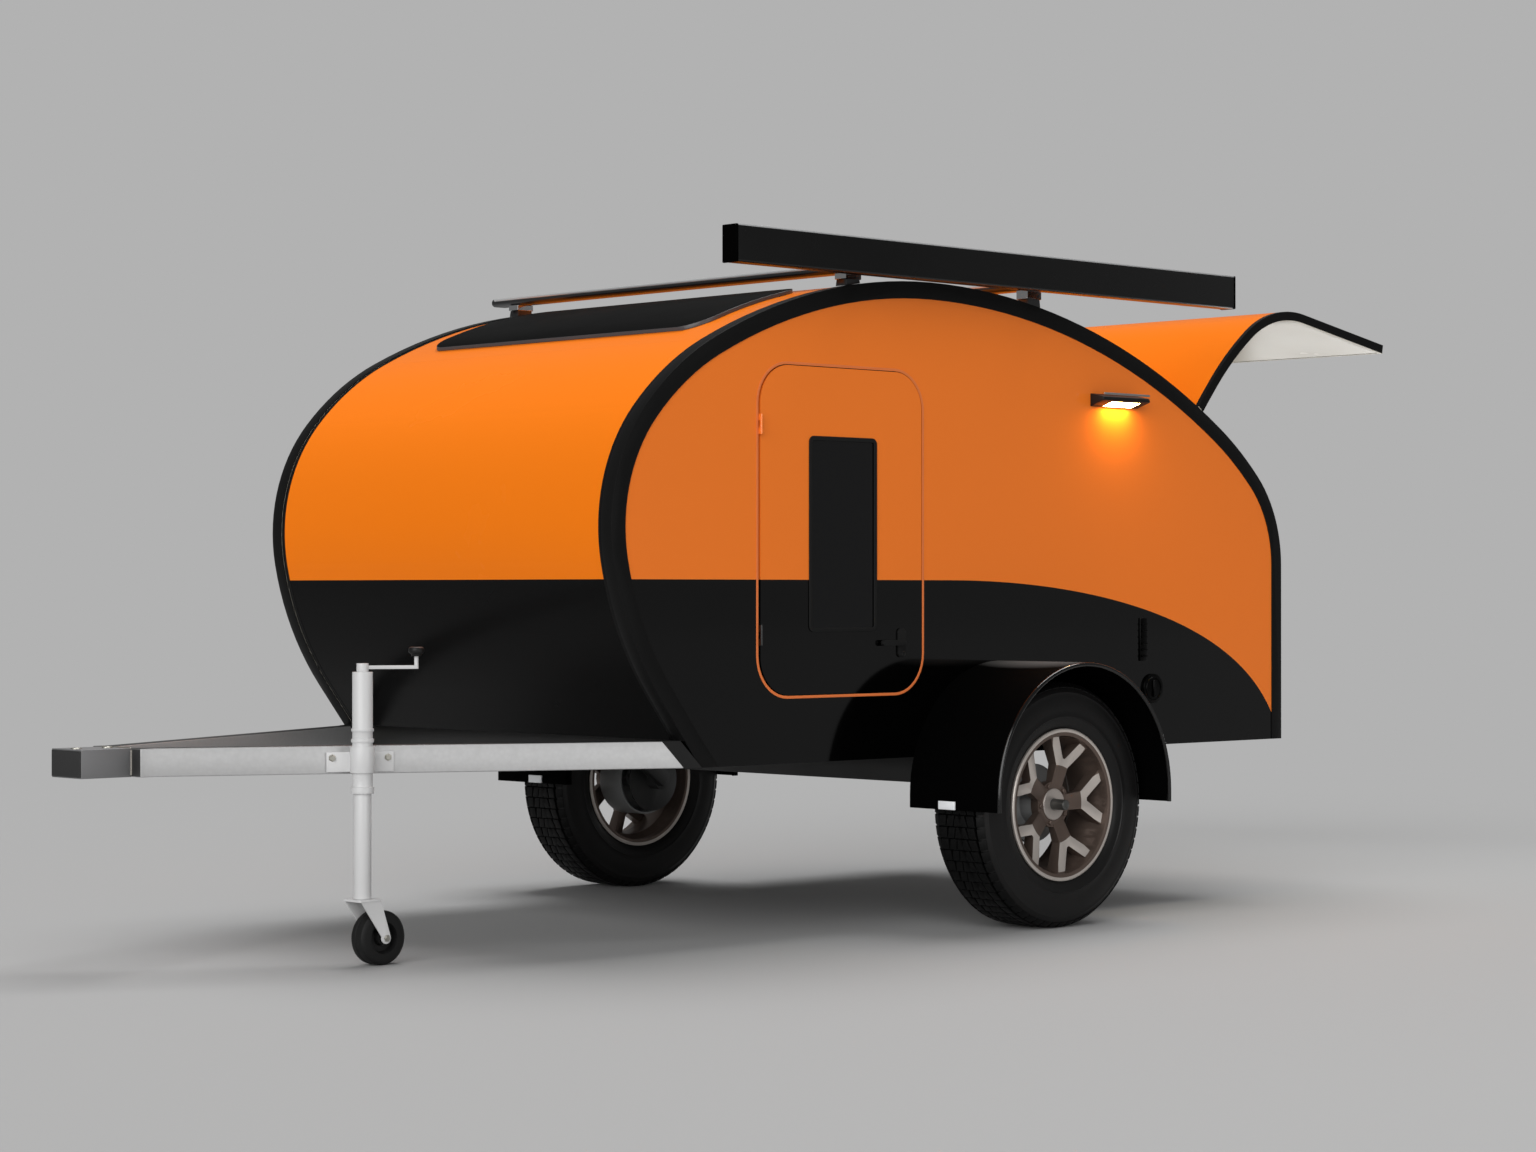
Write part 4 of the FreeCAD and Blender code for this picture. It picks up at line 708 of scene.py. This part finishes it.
GRIP_ARM = 0.154

# powder-coated steel: white, half gloss, faint 2 mm orange peel
white_powder = grained("powder_coated_steel_white", (500.0, 0.0003, 0.30, 0.42, 0.15), "#CBCBCB")
# turned nylon grip and moulded caps: black with a soft sheen
nylon_black = grained("moulded_nylon_black", (800.0, 0.0002, 0.38, 0.52, 0.2), "#131313",
        Specular_IOR_Level=0.28)
# solid rubber tread of the small wheel
solid_rubber = grained("solid_moulded_rubber", (600.0, 0.0004, 0.50, 0.66, 0.3), "#0E0E0E",
        Specular_IOR_Level=0.3)

sleeve_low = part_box("jockey_sleeve")[0]
leg_low, leg_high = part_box("jockey_leg")
stand_x, stand_y = (leg_low.x + leg_high.x) / 2, (leg_low.y + leg_high.y) / 2
clamp_turn = (math.sin(DRAWBAR_ANGLE), math.cos(DRAWBAR_ANGLE))
dressed("jockey_sleeve", "jockey_tube", BODY, white_powder, 0.0015)
dressed("jockey_crank", "jockey_crank_arm", BODY, white_powder, 0.0015)
dressed("jockey_leg", "jockey_inner_tube", "jockey_leg", white_powder, 0.0010)
dressed("jockey_fork", "jockey_caster_fork", "jockey_fork", white_powder, 0.0015)
collars = [turned(COLLAR_RING, (stand_x, stand_y, stub_high.z + COLLAR_RISE), (0, 0, 1), 36, True)]
collars.append(turned(LOWER_BAND, (stand_x, stand_y, sleeve_low.z + 0.002), (0, 0, 1), 36, True))
settle(joined(collars), "jockey_collars", BODY, white_powder)
bolts = []
for along in (-0.080, 0.080):
    spot = (stand_x - 0.038 * clamp_turn[1] + along * clamp_turn[0],
            stand_y + 0.038 * clamp_turn[0] + along * clamp_turn[1], stub_high.z - 0.034)
    bolts.append(turned(CLAMP_BOLT, spot, (clamp_turn[1], -clamp_turn[0], 0), 6))
crank_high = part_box("jockey_crank")[1]
grip = turned(GRIP, (stand_x + GRIP_ARM * clamp_turn[0], stand_y + GRIP_ARM * clamp_turn[1],
        crank_high.z - 0.0262), (0, 0, 1), 28)
settle(grip, "jockey_grip", BODY, nylon_black)

wheel_low, wheel_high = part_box("jockey_wheel")
caster_x, caster_y = (wheel_low.x + wheel_high.x) / 2, (wheel_low.y + wheel_high.y) / 2
caster_r, caster_half = (wheel_high.y - wheel_low.y) / 2, (wheel_high.x - wheel_low.x) / 2
# Columns: half width as a share, radius as a share
SMALL_TYRE = [(1.0, 0.58), (1.0, 0.84), (0.93, 0.93), (0.78, 0.985), (0.55, 1.0), (0.18, 1.0), (0.14, 0.985)]
half = [(across * caster_half, radius * caster_r) for across, radius in SMALL_TYRE]
tyre = turned(half + [(-across, radius) for across, radius in half[::-1]], (caster_x, caster_y, caster_r),
        (1, 0, 0), 56, True)
settle(tyre, "jockey_tyre", "jockey_wheel", solid_rubber)
SMALL_RIM = [(0.95, 0.585), (0.80, 0.560), (0.40, 0.500), (0.40, 0.300), (0.98, 0.260), (0.98, 0.105)]
half = [(across * caster_half, radius * caster_r) for across, radius in SMALL_RIM]
rim = turned(half + [(-across, radius) for across, radius in half[::-1]], (caster_x, caster_y, caster_r),
        (1, 0, 0), 40, True)
settle(rim, "jockey_wheel_centre", "jockey_wheel", nylon_black, ["jockey_wheel"])
fork_low, fork_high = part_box("jockey_fork")
for side, face in ((1, fork_high.x), (-1, fork_low.x)):
    bolts.append(turned([(0.0, 0.0105), (0.002, 0.0100), (0.0021, 0.0080), (0.004, 0.0070)],
            (face - side * 0.0015, caster_y, caster_r), (side, 0, 0), 6))
settle(joined(bolts[-2:]), "jockey_axle_nuts", "jockey_fork", zinc_plate)
settle(joined(bolts[:2]), "jockey_clamp_bolts", BODY, zinc_plate)

# ---------------------------------------------------------------- roof bars and awning case
# Anodised extrusions: two bars with a pale strip in each side, on cast feet, and a long case for
# the rolled awning.  The case has moulded ends and a pale lip, and hangs on brackets from the bars.
# The pale strips and lip are a painted highlight: the bright lines that the bars' sides and the case's top
# edge catch.
CAP_DEPTH = 0.007
LIP_HEIGHT = 0.0035
BAR_DEPTH = 0.027
FOOT_X = 0.790
STRIP_RADIUS, STRIP_INSET, STRIP_Y, STRIP_DROP = 0.0050, 0.012, 0.0318, 0.0052
FOOT_COLLAR = (0.024, 0.033)

# hard-anodised aluminium: black, smooth, with long soft reflections
bar_anodised = grained("hard_anodised_aluminium_black", (250.0, 0.0002, 0.30, 0.36, 0.05), "#0C0C0D",
        Specular_IOR_Level=1.0)
# chromed clamp collars on the feet
bright_chrome = grained("bright_chrome_plate", (60.0, 0.0003, 0.08, 0.14, 0.02), "#DCDDDE", Metallic=1.0)
# pale satin strip: a painted highlight, the bright line along the black bars' sides and the case's top edge
painted_highlight_strip = grained("pale_strip_painted_highlight", (400.0, 0.0002, 0.28, 0.38, 0.1), "#C6C7C8", Metallic=0.4)
# powder-coated case: black, satin
case_coat = grained("powder_coated_awning_case", (700.0, 0.0002, 0.24, 0.32, 0.08), "#040404",
        Specular_IOR_Level=0.45)

case_low, case_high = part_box("awning_case")
dressed("awning_case", "awning_case_shell", BODY, case_coat, 0.006, 3)

for name in ("front_roof_bar", "rear_roof_bar"):
    dressed(name, name + "_anodised", BODY, bar_anodised, 0.003, 3, False)
    low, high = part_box(name)
    middle_y, under = (low.y + high.y) / 2, high.z - BAR_DEPTH
    collars = []
    for side in (1, -1):
        foot_x = side * FOOT_X
        collars.append(block((foot_x - FOOT_COLLAR[0], middle_y - FOOT_COLLAR[1],
                under - 0.5 * (under - low.z)), (foot_x + FOOT_COLLAR[0], middle_y + FOOT_COLLAR[1],
                under + 0.0005), lambda normal: abs(normal.y) > 0.9 or abs(normal.x) > 0.9, 0.002, 0.001,
                0.0025))
    settle(joined(collars), name + "_foot_collars", BODY, bright_chrome)
    # the pale strips along each bar's sides are a painted highlight
    length = high.x - low.x - 2 * STRIP_INSET
    highlight_strips = [turned([(0.0, 0.0018), (0.001, STRIP_RADIUS), (length - 0.001, STRIP_RADIUS), (length, 0.0018)],
            (low.x + STRIP_INSET, middle_y + side * STRIP_Y, high.z - STRIP_DROP), (1, 0, 0), 12)
            for side in (1, -1)]
    settle(joined(highlight_strips), name + "_strips", BODY, painted_highlight_strip)
trims = []
for near, away in ((case_low.y, -1), (case_high.y, 1)):
    inner, outer = near - away * CAP_DEPTH, near + away * 0.002
    trims.append(block((case_low.x - 0.001, min(inner, outer) - 0.0005, case_low.z - 0.001),
            (case_high.x + 0.0012, max(inner, outer) + 0.0005, case_high.z + 0.001),
            lambda normal: abs(normal.y) > 0.9, 0.008, -0.001, 0.003))
# the end caps share the arches' material, so their level tops carry the same painted highlight
settle(joined(trims), "awning_end_caps", BODY, arch_abs)
# the pale lip along the case's top edge is a painted highlight
highlight_lip = block((case_high.x - 0.006, case_low.y + CAP_DEPTH + 0.001, case_high.z - LIP_HEIGHT),
        (case_high.x + 0.0012, case_high.y - CAP_DEPTH - 0.001, case_high.z + 0.001),
        lambda normal: normal.x > 0.9, 0.001, 0.0, 0.0012)
settle(highlight_lip, "awning_lip_painted_highlight", BODY, painted_highlight_strip)
brackets = []
for name in ("front_roof_bar", "rear_roof_bar"):
    low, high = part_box(name)
    middle_y = (low.y + high.y) / 2
    brackets.append(block((high.x - 0.045, middle_y - 0.024, high.z - 0.001),
            (case_low.x + 0.003, middle_y + 0.024, high.z + 0.006), lambda normal: normal.z > 0.9, 0.006,
            -0.001, 0.0015))
    brackets.append(block((case_low.x - 0.006, middle_y - 0.024, high.z + 0.002),
            (case_low.x + 0.001, middle_y + 0.024, case_high.z - 0.020), lambda normal: normal.x < -0.9,
            0.006, -0.001, 0.0015))
settle(joined(brackets), "awning_brackets", BODY, bar_anodised)

# ---------------------------------------------------------------- skylight
# Acrylic roof window: a smoked dome that is pressed up a little inside a moulded frame with a
# narrow rim, glued on the roof.
SKY_RIM = 0.012
DOME_RISE = 0.004

# moulded ABS frame, half matt: its mid grey is a painted highlight, the light that its narrow rim catches
frame_abs_painted_highlight = grained("moulded_abs_skylight_frame", (900.0, 0.0002, 0.30, 0.40, 0.12), "#464648",
        Specular_IOR_Level=0.5)
# smoked acrylic with a fine orange-skin underside: dark and only half glossy
dome_tint = grained("formed_acrylic_smoked", (120.0, 0.0004, 0.44, 0.52, 0.08), "#050505", IOR=1.49,
        Specular_IOR_Level=0.02)
dome = softened("skylight", 0.005, 4)
dome.data.materials.clear()
dome.data.materials.append(frame_abs_painted_highlight)
dome.data.materials.append(dome_tint)
bpy.ops.object.mode_set(mode="EDIT")
pick(dome, lambda normal: normal.z > 0.6)
mesh = bmesh.from_edit_mesh(dome.data)
for face in mesh.faces:
    if face.select and face.calc_area() < 0.002:
        face.select = False
bmesh.update_edit_mesh(dome.data)
bpy.ops.mesh.inset(thickness=SKY_RIM, depth=0)
bpy.ops.mesh.inset(thickness=0.003, depth=-0.002)
dome.active_material_index = 1
bpy.ops.object.material_slot_assign()
bpy.ops.mesh.inset(thickness=0.012, depth=DOME_RISE)
bpy.ops.object.mode_set(mode="OBJECT")
settle(dome, "skylight_dome", BODY, None, ["skylight"])

# ---------------------------------------------------------------- side lamp, service caps, handles
# A slim LED lamp lights the ground below the awning; a water cap and a vent are let into the
# left wall.  All are moulded black, with the lamp's lens in opal polycarbonate.
LAMP_WARM = "#FFDC80"

# opal polycarbonate over a warm LED strip
opal_lens, tree, shader = new_material("opal_polycarbonate_lit", Base_Color="#FFF6E0", Roughness=0.35,
        Emission_Color=LAMP_WARM, Emission_Strength=65.0)
# brushed aluminium edge of the lamp: a bright narrow line
lamp_edge = grained("brushed_aluminium_strip", (400.0, 0.0002, 0.28, 0.38, 0.1), "#C9CACB", Metallic=1.0)

lamp_low, lamp_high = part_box("side_lamp")
lamp = softened("side_lamp", 0.003, 3)
lamp.data.materials.clear()
lamp.data.materials.append(nylon_black)
lamp.data.materials.append(opal_lens)
bpy.ops.object.mode_set(mode="EDIT")
pick(lamp, lambda normal: normal.z < -0.85 and normal.x > 0.1 and abs(normal.y) < 0.01)
bpy.ops.mesh.inset(thickness=0.006, depth=0)
lens_y = lamp_low.y + 0.56 * (lamp_high.y - lamp_low.y)
bpy.ops.transform.resize(value=(1, 0.66, 1), center_override=(0, lens_y, 0))
bpy.ops.mesh.inset(thickness=0.0015, depth=0.0015)
lamp.active_material_index = 1
bpy.ops.object.material_slot_assign()
bpy.ops.object.mode_set(mode="OBJECT")
settle(lamp, "side_lamp_housing", BODY, None, ["side_lamp"])
strip = block((lamp_high.x - 0.005, lamp_low.y + 0.004, lamp_high.z - 0.006),
        (lamp_high.x + 0.0008, lamp_high.y - 0.004, lamp_high.z + 0.0008), lambda normal: normal.x > 0.9,
        0.001, 0.0, 0.0012)
settle(strip, "side_lamp_strip", BODY, lamp_edge)

cap_low, cap_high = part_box("service_caps")
dressed("service_caps", "service_cap_body", BODY, gloss_abs, 0.0018)
cap_y, cap_z, cap_r = cap_high.y - 0.050, cap_low.z + 0.050, 0.050
rings = [turned([(0, cap_r - 0.010), (0.0022, cap_r - 0.011), (0.0022, cap_r - 0.014), (0, cap_r - 0.015)],
        (cap_high.x - 0.0003, cap_y, cap_z), (1, 0, 0), 40, True)]
rings.append(block((cap_high.x - 0.001, cap_y - 0.007, cap_z - 0.028),
        (cap_high.x + 0.006, cap_y + 0.007, cap_z + 0.028), lambda normal: normal.x > 0.9, 0.002, 0.001,
        0.002))
settle(joined(rings), "service_cap_grip", BODY, gloss_abs)
vent_y = cap_low.y + 0.018
louvres = []
for index in range(6):
    height = cap_high.z - 0.018 - 0.0215 * index
    louvres.append(block((cap_high.x - 0.004, vent_y - 0.013, height - 0.006),
            (cap_high.x + 0.0025, vent_y + 0.013, height), lambda normal: normal.x > 0.9, 0.0015, 0.0,
            0.0012))
settle(joined(louvres), "service_vent_louvres", BODY, gloss_abs)

for side, hand in ((1, "left"), (-1, "right")):
    low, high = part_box("door_handle_" + hand)
    dressed("door_handle_" + hand, "door_handle_cast_" + hand, "door_" + hand, nylon_black,
            0.003, 3)
    key_x = (high.x if side > 0 else low.x) - side * 0.0135
    barrel = turned([(0, 0.0085), (0.003, 0.0085), (0.0038, 0.0075), (0.0030, 0.0060), (0.0030, 0.0010)],
            (key_x, high.y - 0.012, low.z + 0.010), (side, 0, 0), 24)
    settle(barrel, "door_lock_barrel_" + hand, "door_" + hand, nylon_black)

# ---------------------------------------------------------------- hatch
# Curved sandwich panel on two steel knuckle hinges, orange outside and cream laminate inside.
# A black aluminium channel is pushed over its edges, with a moulded latch grip.  Black beads of
# the same width seal the edges of the nose and roof panels to the walls.
CHANNEL_WIDTH = 0.014
SEALANT_WIDTH = 0.014
LOOKS_DOWN = -0.12


def lined_coat(name, outside, specular, *grain):
    """A coat outside, with cream laminate on the faces that look down."""
    made, tree, shader = new_material(name, Specular_IOR_Level=specular)
    facing = add_node(tree, "SeparateXYZ", {0: add_node(tree, "TexCoord").outputs["Normal"]})
    inside = add_node(tree, "Math", {0: facing.outputs["Z"], 1: LOOKS_DOWN}, operation="LESS_THAN")
    tree.links.new(add_node(tree, "Mix", {0: inside, 6: outside, 7: CREAM_LAMINATE},
            data_type="RGBA").outputs[2], shader.inputs["Base Color"])
    grain_of(tree, shader, *grain)
    return made


# sprayed coat above, in the nose's orange with its painted light, and laminate below, told apart by the side
# the face looks to
hatch_coat = lined_coat("two_pack_polyurethane_hatch_skin", SHELL_ORANGE_PAINTED_LIGHT, 0.05, 400.0, 0.0002, 0.20, 0.28,
        0.06)
wear("hatch", hatch_coat)
# powder-coated channel: satin black, with its inner leg under the cream laminate
channel_coat = lined_coat("powder_coated_channel_black", "#161616", 0.06, 900.0, 0.0002, 0.30, 0.40, 0.15)

hatch_low, hatch_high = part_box("hatch")
channels = [edge_channel("hatch", (hatch_high.x - CHANNEL_WIDTH, 0, 0), (1, 0, 0)),
        edge_channel("hatch", (hatch_low.x + CHANNEL_WIDTH, 0, 0), (-1, 0, 0)),
        edge_channel("hatch", (0, hatch_high.y - CHANNEL_WIDTH, 0), (0, 1, 0))]
settle(joined(channels), "hatch_edge_channel", "hatch", channel_coat)
beads = []
for name in ("nose_panel", "roof_panel"):
    low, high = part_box(name)
    beads.append(edge_channel(name, (high.x - SEALANT_WIDTH, 0, 0), (1, 0, 0)))
    beads.append(edge_channel(name, (low.x + SEALANT_WIDTH, 0, 0), (-1, 0, 0)))
settle(joined(beads), "panel_edge_sealant", BODY, trim_coat)
dressed("hatch_latch", "hatch_latch_grip", "hatch", nylon_black, 0.003, 3)
dressed("hatch_hinges", "hatch_hinge_leaves", BODY, chassis_paint, 0.0008)

# ---------------------------------------------------------------- galley, floor and tail lamps
# Oiled birch plywood: a bulkhead with a lipped shelf, and a bench with three drawers, each with
# a finger hole.  A phenolic ply floor closes the cabin, and a red lamp sits at each rear corner.
DRAWERS = 3
FRONT_THICKNESS = 0.012
FINGER_HOLE = 0.017

# oiled birch plywood: pale, with long grain 25 mm wide and fibres 1.3 mm wide
birch_ply, tree, shader = new_material("oiled_birch_plywood", Roughness=0.42)
place = add_node(tree, "TexCoord").outputs["Object"]
along = add_node(tree, "Mapping", {"Vector": place, "Scale": (1.2, 12.0, 12.0)})
grain = add_node(tree, "TexNoise", {"Vector": along, "Scale": 3.5, "Detail": 8.0, "Distortion": 1.2})
wood = add_node(tree, "Mix", {0: grain.outputs["Fac"], 6: "#D9BE93", 7: "#B58F5E"},
        data_type="RGBA").outputs[2]
fibre = add_node(tree, "Mapping", {"Vector": place, "Scale": (8.0, 400.0, 400.0)})
pores = add_node(tree, "TexNoise", {"Vector": fibre, "Scale": 2.0, "Detail": 3.0})
tone = add_node(tree, "MapRange", {"Value": pores.outputs["Fac"], "To Min": 0.82, "To Max": 1.1})
wood = add_node(tree, "VectorMath", {0: wood, "Scale": tone}, operation="SCALE")
tree.links.new(wood.outputs[0], shader.inputs["Base Color"])
bump = add_node(tree, "Bump", {"Height": pores.outputs["Fac"], "Strength": 0.15, "Distance": 0.0004})
tree.links.new(bump.outputs[0], shader.inputs["Normal"])
# film-faced floor plywood: dark brown phenolic skin with a 5 mm wire mesh pressed into it
film_ply, tree, shader = new_material("film_faced_plywood", Base_Color="#3A2A20", Roughness=0.5)
place = add_node(tree, "TexCoord").outputs["Object"]
mesh_print = add_node(tree, "TexVoronoi", {"Vector": place, "Scale": 200.0})
bump = add_node(tree, "Bump", {"Height": mesh_print.outputs["Distance"], "Strength": 0.3, "Distance": 0.0006})
tree.links.new(bump.outputs[0], shader.inputs["Normal"])
# red moulded acrylic lens with 4 mm prisms
red_lens, tree, shader = new_material("moulded_acrylic_red", Base_Color="#A3120E", IOR=1.49, Roughness=0.12)
place = add_node(tree, "TexCoord").outputs["Object"]
prisms = add_node(tree, "TexVoronoi", {"Vector": place, "Scale": 250.0})
bump = add_node(tree, "Bump", {"Height": prisms.outputs["Distance"], "Strength": 0.5, "Distance": 0.001})
tree.links.new(bump.outputs[0], shader.inputs["Normal"])

wear("floor_panel", film_ply)
for name in ("galley_bulkhead", "galley_bench"):
    dressed(name, name + "_ply", BODY, birch_ply, 0.0015)
bench_low, bench_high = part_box("galley_bench")
front_face = bench_high.y - 0.022
share = (bench_high.x - bench_low.x - 0.020) / DRAWERS
fronts, pulls = [], []
for index in range(DRAWERS):
    near = bench_low.x + 0.010 + share * index + 0.003
    front = block((near, front_face, bench_low.z + 0.012),
            (near + share - 0.006, front_face + FRONT_THICKNESS, bench_high.z - 0.040),
            lambda normal: normal.y > 0.9, 0.004, 0.0, 0.0015)
    fronts.append(front)
    pull = turned([(0, FINGER_HOLE + 0.003), (0.0015, FINGER_HOLE + 0.003), (0.0025, FINGER_HOLE + 0.001),
            (0.0005, FINGER_HOLE), (0.0005, 0.004)],
            (near + share / 2 - 0.003, front_face + FRONT_THICKNESS, bench_high.z - 0.085), (0, 1, 0), 32)
    pulls.append(pull)
settle(joined(fronts), "galley_drawer_fronts", BODY, birch_ply)
settle(joined(pulls), "galley_drawer_pulls", BODY, nylon_black)

lamp_low, lamp_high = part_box("tail_lamps")
lens = softened("tail_lamps", 0.003, 3)
settle(lens, "tail_lamp_lenses", BODY, red_lens, ["tail_lamps"])
bezels = []
for side in (1, -1):
    outer = max(abs(lamp_low.x), lamp_high.x)
    inner = outer - 0.200
    near, far = sorted((side * (outer + 0.006), side * (inner - 0.006)))
    bezels.append(block((near, lamp_low.y - 0.0005, lamp_low.z - 0.006),
            (far, lamp_low.y + 0.010, lamp_high.z + 0.006), lambda normal: normal.y > 0.9, 0.005, 0.002,
            0.002))
settle(joined(bezels), "tail_lamp_bezels", BODY, nylon_black)

# ---------------------------------------------------------------- camera, floor and lamps
# A long lens at waist height off the front left corner, a plain grey studio floor that runs
# into the backdrop, two broad soft overhead lights, a low panel at the side and one at the hatch.
CAMERA_FROM_AXLE = (7.908, -7.822, 1.062)
CAMERA_TURN, CAMERA_TILT = math.radians(46.17), math.radians(-0.256)
BACKDROP_GREY = "#B2B2B2"

view = bpy.data.cameras.new("studio_camera")
view.lens, view.sensor_width = 76.83, 36.0
camera = bpy.data.objects.new("studio_camera", view)
bpy.context.scene.collection.objects.link(camera)
camera.location = (CAMERA_FROM_AXLE[0], axle_y + CAMERA_FROM_AXLE[1], CAMERA_FROM_AXLE[2])
camera.rotation_euler = (math.pi / 2 - CAMERA_TILT, 0, CAMERA_TURN)
bpy.context.scene.camera = camera

world = bpy.data.worlds.new("studio")
bpy.context.scene.world = world
world.use_nodes = True
tree = world.node_tree
tree.nodes.clear()
rays = add_node(tree, "LightPath")
seen = add_node(tree, "Math", {0: rays.outputs["Is Camera Ray"], 1: rays.outputs["Is Transmission Ray"]},
        operation="MAXIMUM")
level = add_node(tree, "MapRange", {"Value": rays.outputs["Is Glossy Ray"], "To Min": 0.23, "To Max": 0.175})
dome = add_node(tree, "Background", {"Color": "#FFFFFF", "Strength": level})
backdrop = add_node(tree, "Background", {"Color": BACKDROP_GREY, "Strength": 1.0})
both = add_node(tree, "MixShader", {0: seen, 1: dome, 2: backdrop})
add_node(tree, "OutputWorld", {0: both})

bpy.ops.object.select_all(action="DESELECT")
bpy.ops.mesh.primitive_plane_add(size=120, location=(0, 0, 0))
floor = bpy.context.object
floor.name = "studio_floor"
# matt painted floor; further out it carries the backdrop's own grey, so no horizon shows
floor_paint, tree, shader = new_material("matt_studio_floor", Base_Color="#9F9F9F", Roughness=0.9)
place = add_node(tree, "TexCoord").outputs["Object"]
reach = add_node(tree, "VectorMath", {0: place}, operation="LENGTH")
far = add_node(tree, "MapRange", {"Value": reach.outputs["Value"], "From Min": 4.0, "From Max": 9.0},
        interpolation_type="SMOOTHSTEP")
rays = add_node(tree, "LightPath")
direct = add_node(tree, "Math", {0: rays.outputs["Is Camera Ray"], 1: rays.outputs["Is Glossy Ray"]},
        operation="MAXIMUM")
shown = add_node(tree, "Math", {0: far, 1: direct}, operation="MULTIPLY")
level = add_node(tree, "MapRange", {"Value": rays.outputs["Is Glossy Ray"], "To Min": 1.0, "To Max": 0.45})
glow = add_node(tree, "Emission", {"Color": BACKDROP_GREY, "Strength": level})
mix = add_node(tree, "MixShader", {0: shown, 1: shader, 2: glow})
tree.links.new(mix.outputs[0], tree.nodes["Material Output"].inputs[0])
floor.data.materials.append(floor_paint)

# Columns: name, place, aim, width, height, power
LAMPS = [("side", (9.0, axle_y - 1.9, 1.6), (0.0, axle_y - 1.9, 0.9), 4.0, 3.0, 32),
         ("hatch", (-0.8, axle_y + 4.6, 0.6), (0.0, axle_y + 1.6, 2.0), 2.0, 0.8, 7)]
for name, spot, aim, width, height, power in LAMPS:
    light = bpy.data.lights.new(name, "AREA")
    light.shape, light.size, light.size_y, light.energy = "RECTANGLE", width, height, power
    light.spread = math.radians(100)
    lamp = bpy.data.objects.new(name, light)
    bpy.context.scene.collection.objects.link(lamp)
    lamp.location = spot
    lamp.rotation_euler = (Vector(aim) - Vector(spot)).to_track_quat("-Z", "Y").to_euler()
# Columns: name, direction it shines in, spread in degrees, power
SKIES = [("key", (-0.40, 0.78, -0.35), 55, 2.25), ("top", (0.15, -0.42, -1.0), 40, 2.50)]
for name, shines, spread, power in SKIES:
    light = bpy.data.lights.new(name, "SUN")
    light.angle, light.energy = math.radians(spread), power
    lamp = bpy.data.objects.new(name, light)
    bpy.context.scene.collection.objects.link(lamp)
    lamp.rotation_euler = Vector(shines).to_track_quat("-Z", "Y").to_euler()

bpy.context.scene.view_settings.view_transform = "Standard"
